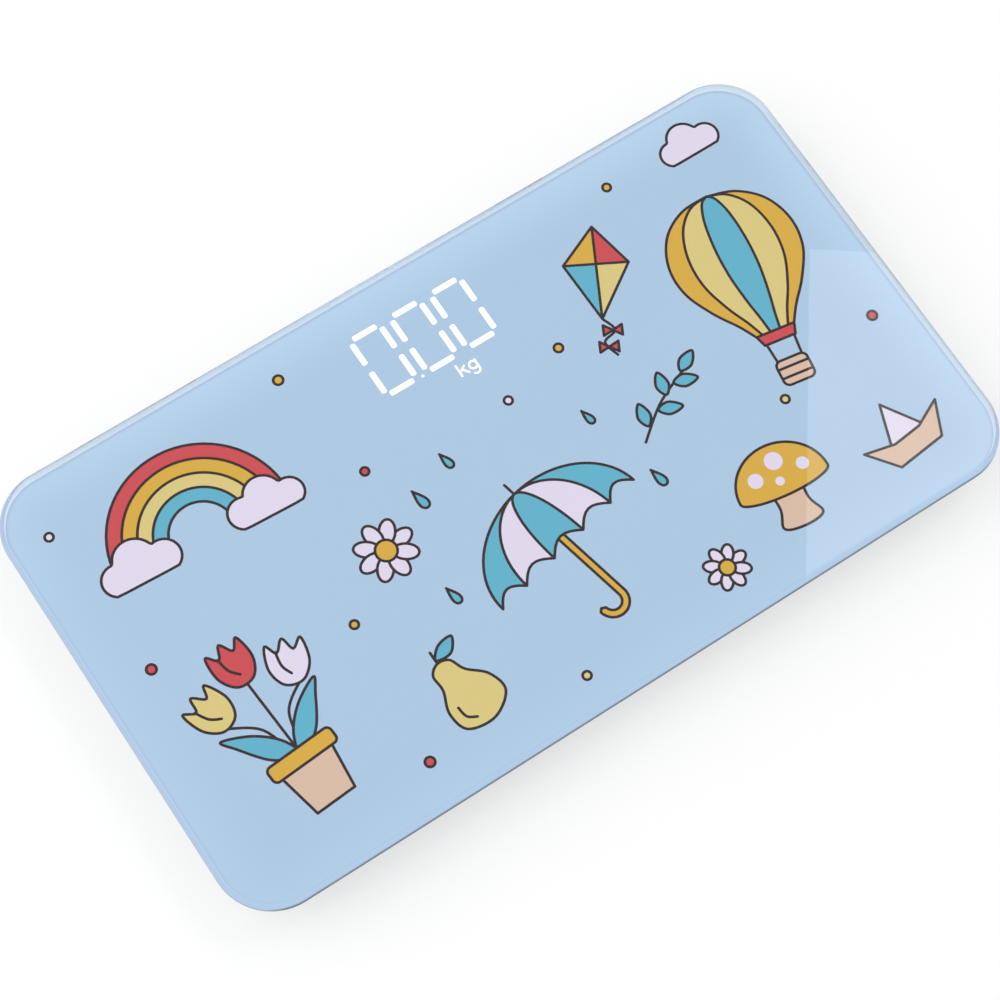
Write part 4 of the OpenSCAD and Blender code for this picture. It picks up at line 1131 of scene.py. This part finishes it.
dress(finish("white_abs", srgb("E4E6E6"), 0.52, patch=25, shift=0.012, grain=0.3, relief=0.04),
      "base_tray", "battery_door", "cell_retainers")
dress(finish("white_foot_abs", srgb("E1E3E3"), 0.4, patch=12, shift=0.012, grain=0.5,
             relief=0.01), *at_corners("foot_"))
dress(finish("grey_rubber", srgb("6A6C71"), 0.78, patch=6, shift=0.06, grain=0.16, relief=0.03,
             recipe=dusty), *at_corners("foot_pad_"))
dress(finish("grey_button_abs", srgb("BFC2C6"), 0.33, patch=4, shift=0.015, grain=0.4,
             relief=0.006), "unit_button")
dress(finish("black_switch", srgb("26272A"), 0.4, patch=2, shift=0.1, grain=0.3, relief=0.01),
      "unit_switch", "switch_plunger")
dress(finish("black_foam", srgb("232326"), 0.9, patch=9, shift=0.12, grain=0.34, relief=0.25),
      "rim_tape", "inner_tape_pads", "display_gasket")

# %% [markdown]
# ## Metal parts
# Metal shows its making. The load cells are punched from strip that was rolled one way, so
# their grain is drawn out into lines. The screws are zinc plated, a little blue and cloudy, and
# the contacts are bright nickel.

# %% Dress the metal parts
STEEL = srgb("B4B6B8")
ROLLED = (1, 0.03, 1)


def drawn_lines(bench, base):
    lines = noise(bench, 0.5, 3.0, ROLLED)
    return tinted(bench, lines, shade(STEEL, 0.85), shade(STEEL, 1.12))


dress(finish("rolled_steel", STEEL, 0.34, wander=0.08, patch=9, grain=0.5, relief=0.02,
             stretch=ROLLED, recipe=drawn_lines, Metallic=1.0), *at_corners("load_cell_"))
dress(finish("zinc_plate", srgb("BCC3CC"), 0.3, wander=0.1, patch=1.4, shift=0.08, grain=0.2,
             relief=0.01, Metallic=1.0), "retainer_screws", "board_screws")
dress(finish("nickel_plate", srgb("CFCAC0"), 0.2, wander=0.06, patch=3, shift=0.04, grain=0.4,
             relief=0.006, stretch=(1, 1, 0.1), Metallic=1.0),
      "positive_contact", "negative_contact", "negative_spring", "bridge_contact",
      "bridge_spring")
dress(finish("tinned_brass", srgb("D2C79A"), 0.28, wander=0.08, patch=0.8, shift=0.1, grain=0.2,
             relief=0.01, Metallic=1.0), "led_pins")
dress(finish("white_silicone", srgb("E6E6E1"), 0.3, patch=2.5, shift=0.04, grain=1.1,
             relief=0.15), "gauge_seals")

# %% [markdown]
# ## The circuit board
# Copper tracks run under the green mask. They go straight, jog sideways at 45 degrees, and
# change direction from one area to the next, with filled areas between. All of it is arithmetic
# on the x and y of the board: a triangle wave gives the distance to the nearest of a row of
# parallel lines, and a step turns that distance into a track.

# %% Lay the tracks
MASK_GREEN = srgb("15603A")
TRACK_GREEN = srgb("2C7F4C")
TIN = srgb("C9CBC8")
HOLE_PAINTED_SHADE = srgb("1B1B18")
GRID = 2.54
TRACK_HALF = 0.16
RING_R = 0.42
HOLE_R = 0.18


def swing(value, reach):
    """A triangle wave: the distance to the nearest multiple of twice the reach."""
    return value.math("PINGPONG", value, reach)


def running_tracks(along, across):
    jog = (swing(along, 11) - 4).at_least(0).at_most(GRID)
    return 1 - step(swing(across + jog, GRID / 4), TRACK_HALF)


def board_recipe(bench, base):
    x, y, _ = axes_of(bench)
    turned = step(noise(bench, 24, 0.0), 0.5, 0.01)
    filled = step(noise(bench, 17, 0.0, (1, 1.7, 1)), 0.56, 0.01)
    runs = running_tracks(x, y) * (1 - turned) + running_tracks(y, x) * turned
    hole = (swing(x, GRID / 2) ** 2 + swing(y, GRID / 2) ** 2) ** 0.5
    holes = step(noise(bench, 13, 0.0), 0.6, 0.01)
    rings = (1 - step(hole, RING_R)) * holes
    green = tinted(bench, runs.at_least(filled), base, TRACK_GREEN)
    # The middle of each tin ring is painted shade, standing in for the drilled hole
    tin = tinted(bench, step(hole, HOLE_R, 0.05), HOLE_PAINTED_SHADE, TIN)
    return tinted(bench, rings, green, tin)


dress(finish("green_board", MASK_GREEN, 0.3, patch=12, shift=0.03, grain=0.8, relief=0.01,
             recipe=board_recipe), "circuit_board", "led_board")
dress(finish("black_epoxy", srgb("141415"), 0.22, patch=3, shift=0.15, grain=1.5, relief=0.12),
      "control_chip")
dress(finish("phosphor", srgb("E9DB7C"), 0.45, patch=0.6, shift=0.06, grain=0.15, relief=0.02),
      "led_chips")
dress(finish("white_reflector", srgb("ECEDEC"), 0.3, patch=8, shift=0.01, grain=0.6,
             relief=0.01), "led_case")
dress(finish("milky_diffuser", srgb("F1F4F6"), 0.38, patch=3, shift=0.01, grain=0.3,
             relief=0.01), "led_segments")

# %% [markdown]
# ## Parts of one node in several finishes
# Some CAD nodes hold many loose parts: three wires from each load cell, or the small parts on
# the board. A node has one material slot and its mesh stays as it is, so a merged copy takes
# its place. The copy's loose parts are found by walking from corner to corner, each part gets
# its own material, and an attribute says how near a point is to the part's ends.

# %% Copy a node part by part
SHARP = 40


def loose_parts(shape):
    groups, seen = [], set()
    for start in shape.verts:
        if start in seen:
            continue
        seen.add(start)
        group, waiting = [], [start]
        while waiting:
            corner = waiting.pop()
            group.append(corner)
            near = [edge.other_vert(corner) for edge in corner.link_edges]
            fresh = [other for other in near if other not in seen]
            seen.update(fresh)
            waiting += fresh
        groups.append(group)
    return groups


def copy_by_part(name, node, materials, choose):
    """Puts a merged copy in a node's place; choose(low, high) picks each part's material."""
    shape = bmesh.new()
    shape.from_mesh(nodes[node].data)
    bmesh.ops.remove_doubles(shape, verts=shape.verts, dist=SAME_SPOT * MM)
    toward_end = shape.verts.layers.float.new("toward_end")
    for group in loose_parts(shape):
        low = Vector(min(corner.co[axis] for corner in group) for axis in range(3))
        high = Vector(max(corner.co[axis] for corner in group) for axis in range(3))
        long_axis = 0 if high.x - low.x > high.y - low.y else 1
        middle = (low + high)[long_axis] / 2
        half = (high - low)[long_axis] / 2
        pick = choose(low / MM, high / MM)
        for corner in group:
            corner[toward_end] = abs(corner.co[long_axis] - middle) / half
            for face in corner.link_faces:
                face.material_index = pick
                face.smooth = True
    made = piece_from(shape, name, materials)
    made.data.set_sharp_from_angle(angle=math.radians(SHARP))
    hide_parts(node)


# %% Wires and parts on the board
def tin_ended(bench, base):
    toward_end = bench.node("ShaderNodeAttribute", out="Fac", attribute_name="toward_end")
    return tinted(bench, step(toward_end, 0.62, 0.04), base, TIN)


WIRE_PITCH = 1.3
BETWEEN_BATTERIES = -10
CAN_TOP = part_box("board_components")[1].z / MM
CAN_X = -26.8
CAN_Y = 51.8


def can_recipe(bench, base):
    """A capacitor's printed sleeve, with a pale stripe on one side and a bare tin top."""
    x, y, z = axes_of(bench)
    stripe = (1 - step(abs(y - CAN_Y), 0.7, 0.1)) * step(x, CAN_X, 0.1)
    sleeve = tinted(bench, stripe, base, srgb("B9BCC2"))
    return tinted(bench, step(z, CAN_TOP - 0.08, 0.04), sleeve, srgb("C4C6C8"))


def wire_colour(low, high):
    """Neighbouring wires lie a fixed pitch apart, so their place says which they are."""
    return round(low.y / WIRE_PITCH) % 3


def board_part(low, high):
    """Tells the can, the coil and the two sizes of chip parts by their height and width."""
    height = high.z - low.z
    return 0 if height > 4 else 1 if height > 2 else 2 if high.y - low.y > 2.5 else 3


pvc = [finish(name, srgb(code), 0.36, patch=7, shift=0.05, grain=1.2, relief=0.02)
       for name, code in (("red_pvc", "B5262B"), ("white_pvc", "E2E1DC"), ("black_pvc", "222224"))]
copy_by_part("load_cell_leads", "cell_wires", pvc, wire_colour)
copy_by_part("battery_leads", "battery_wires", pvc,
             lambda low, high: 0 if low.y > BETWEEN_BATTERIES else 2)
copy_by_part("small_parts", "board_components", [
    finish("can_sleeve", srgb("26282E"), 0.32, patch=3, shift=0.05, recipe=can_recipe),
    finish("ferrite", srgb("3A3A3C"), 0.6, patch=1.5, shift=0.12, grain=0.1, relief=0.02),
    finish("tan_ceramic", srgb("A98A63"), 0.42, patch=1, shift=0.05, recipe=tin_ended),
    finish("black_film", srgb("1D1D1F"), 0.4, patch=1, shift=0.08, recipe=tin_ended),
], board_part)

# %% [markdown]
# ## Two batteries
# A dry cell is a steel can in a printed sleeve that shrinks over both shoulders, so bare steel
# shows only in the middle of each end. Rings of colour follow the distance from the plus end,
# and the two cells lie opposite ways, so each gets its own sleeve.

# %% Wrap the batteries
BATTERY_R = 5.25
BARE_R = 4.35
SLATE = srgb("33465A")
SILVER_BAND = srgb("C9CED2")
BARE_STEEL = srgb("C8C8C6")
WIDE_BAND_END = 11
THIN_BAND = (12.2, 12.9)
LAST_BAND_START = 41.5


def sleeve(node, way):
    """Dresses one battery; way is 1 where the minus end lies towards +X."""
    low, high = (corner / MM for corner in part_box(node))
    material, bench = blank_material(node + "_sleeve")
    x, y, z = axes_of(bench)
    plus_end = low.x if way > 0 else high.x
    along = (x - plus_end) * way
    off_axis = ((y - (low.y + BATTERY_R)) ** 2 + (z - (low.z + BATTERY_R)) ** 2) ** 0.5
    bare = 1 - step(off_axis, BARE_R)
    thin_band = step(along, THIN_BAND[0]) * (1 - step(along, THIN_BAND[1]))
    wide_bands = (1 - step(along, WIDE_BAND_END)).at_least(step(along, LAST_BAND_START))
    bands = wide_bands.at_least(thin_band)
    patches = noise(bench, 5)
    print_colour = tinted(bench, bands, tinted(bench, patches, shade(SLATE, 0.94), SLATE),
                          tinted(bench, patches, SILVER_BAND, shade(SILVER_BAND, 1.05)))
    surface = bench.node("ShaderNodeBsdfPrincipled", {
        "Base Color": tinted(bench, bare, print_colour, BARE_STEEL),
        "Metallic": bare,
        "Roughness": patches * 0.1 + 0.22,
        "Normal": bench.node("ShaderNodeBump", {
            "Strength": 0.1, "Distance": 0.01 * MM, "Height": noise(bench, 0.9),
        }),
    })
    bench.node("ShaderNodeOutputMaterial", {"Surface": surface})
    dress(material, node)


sleeve("battery_rear", 1)
sleeve("battery_front", -1)
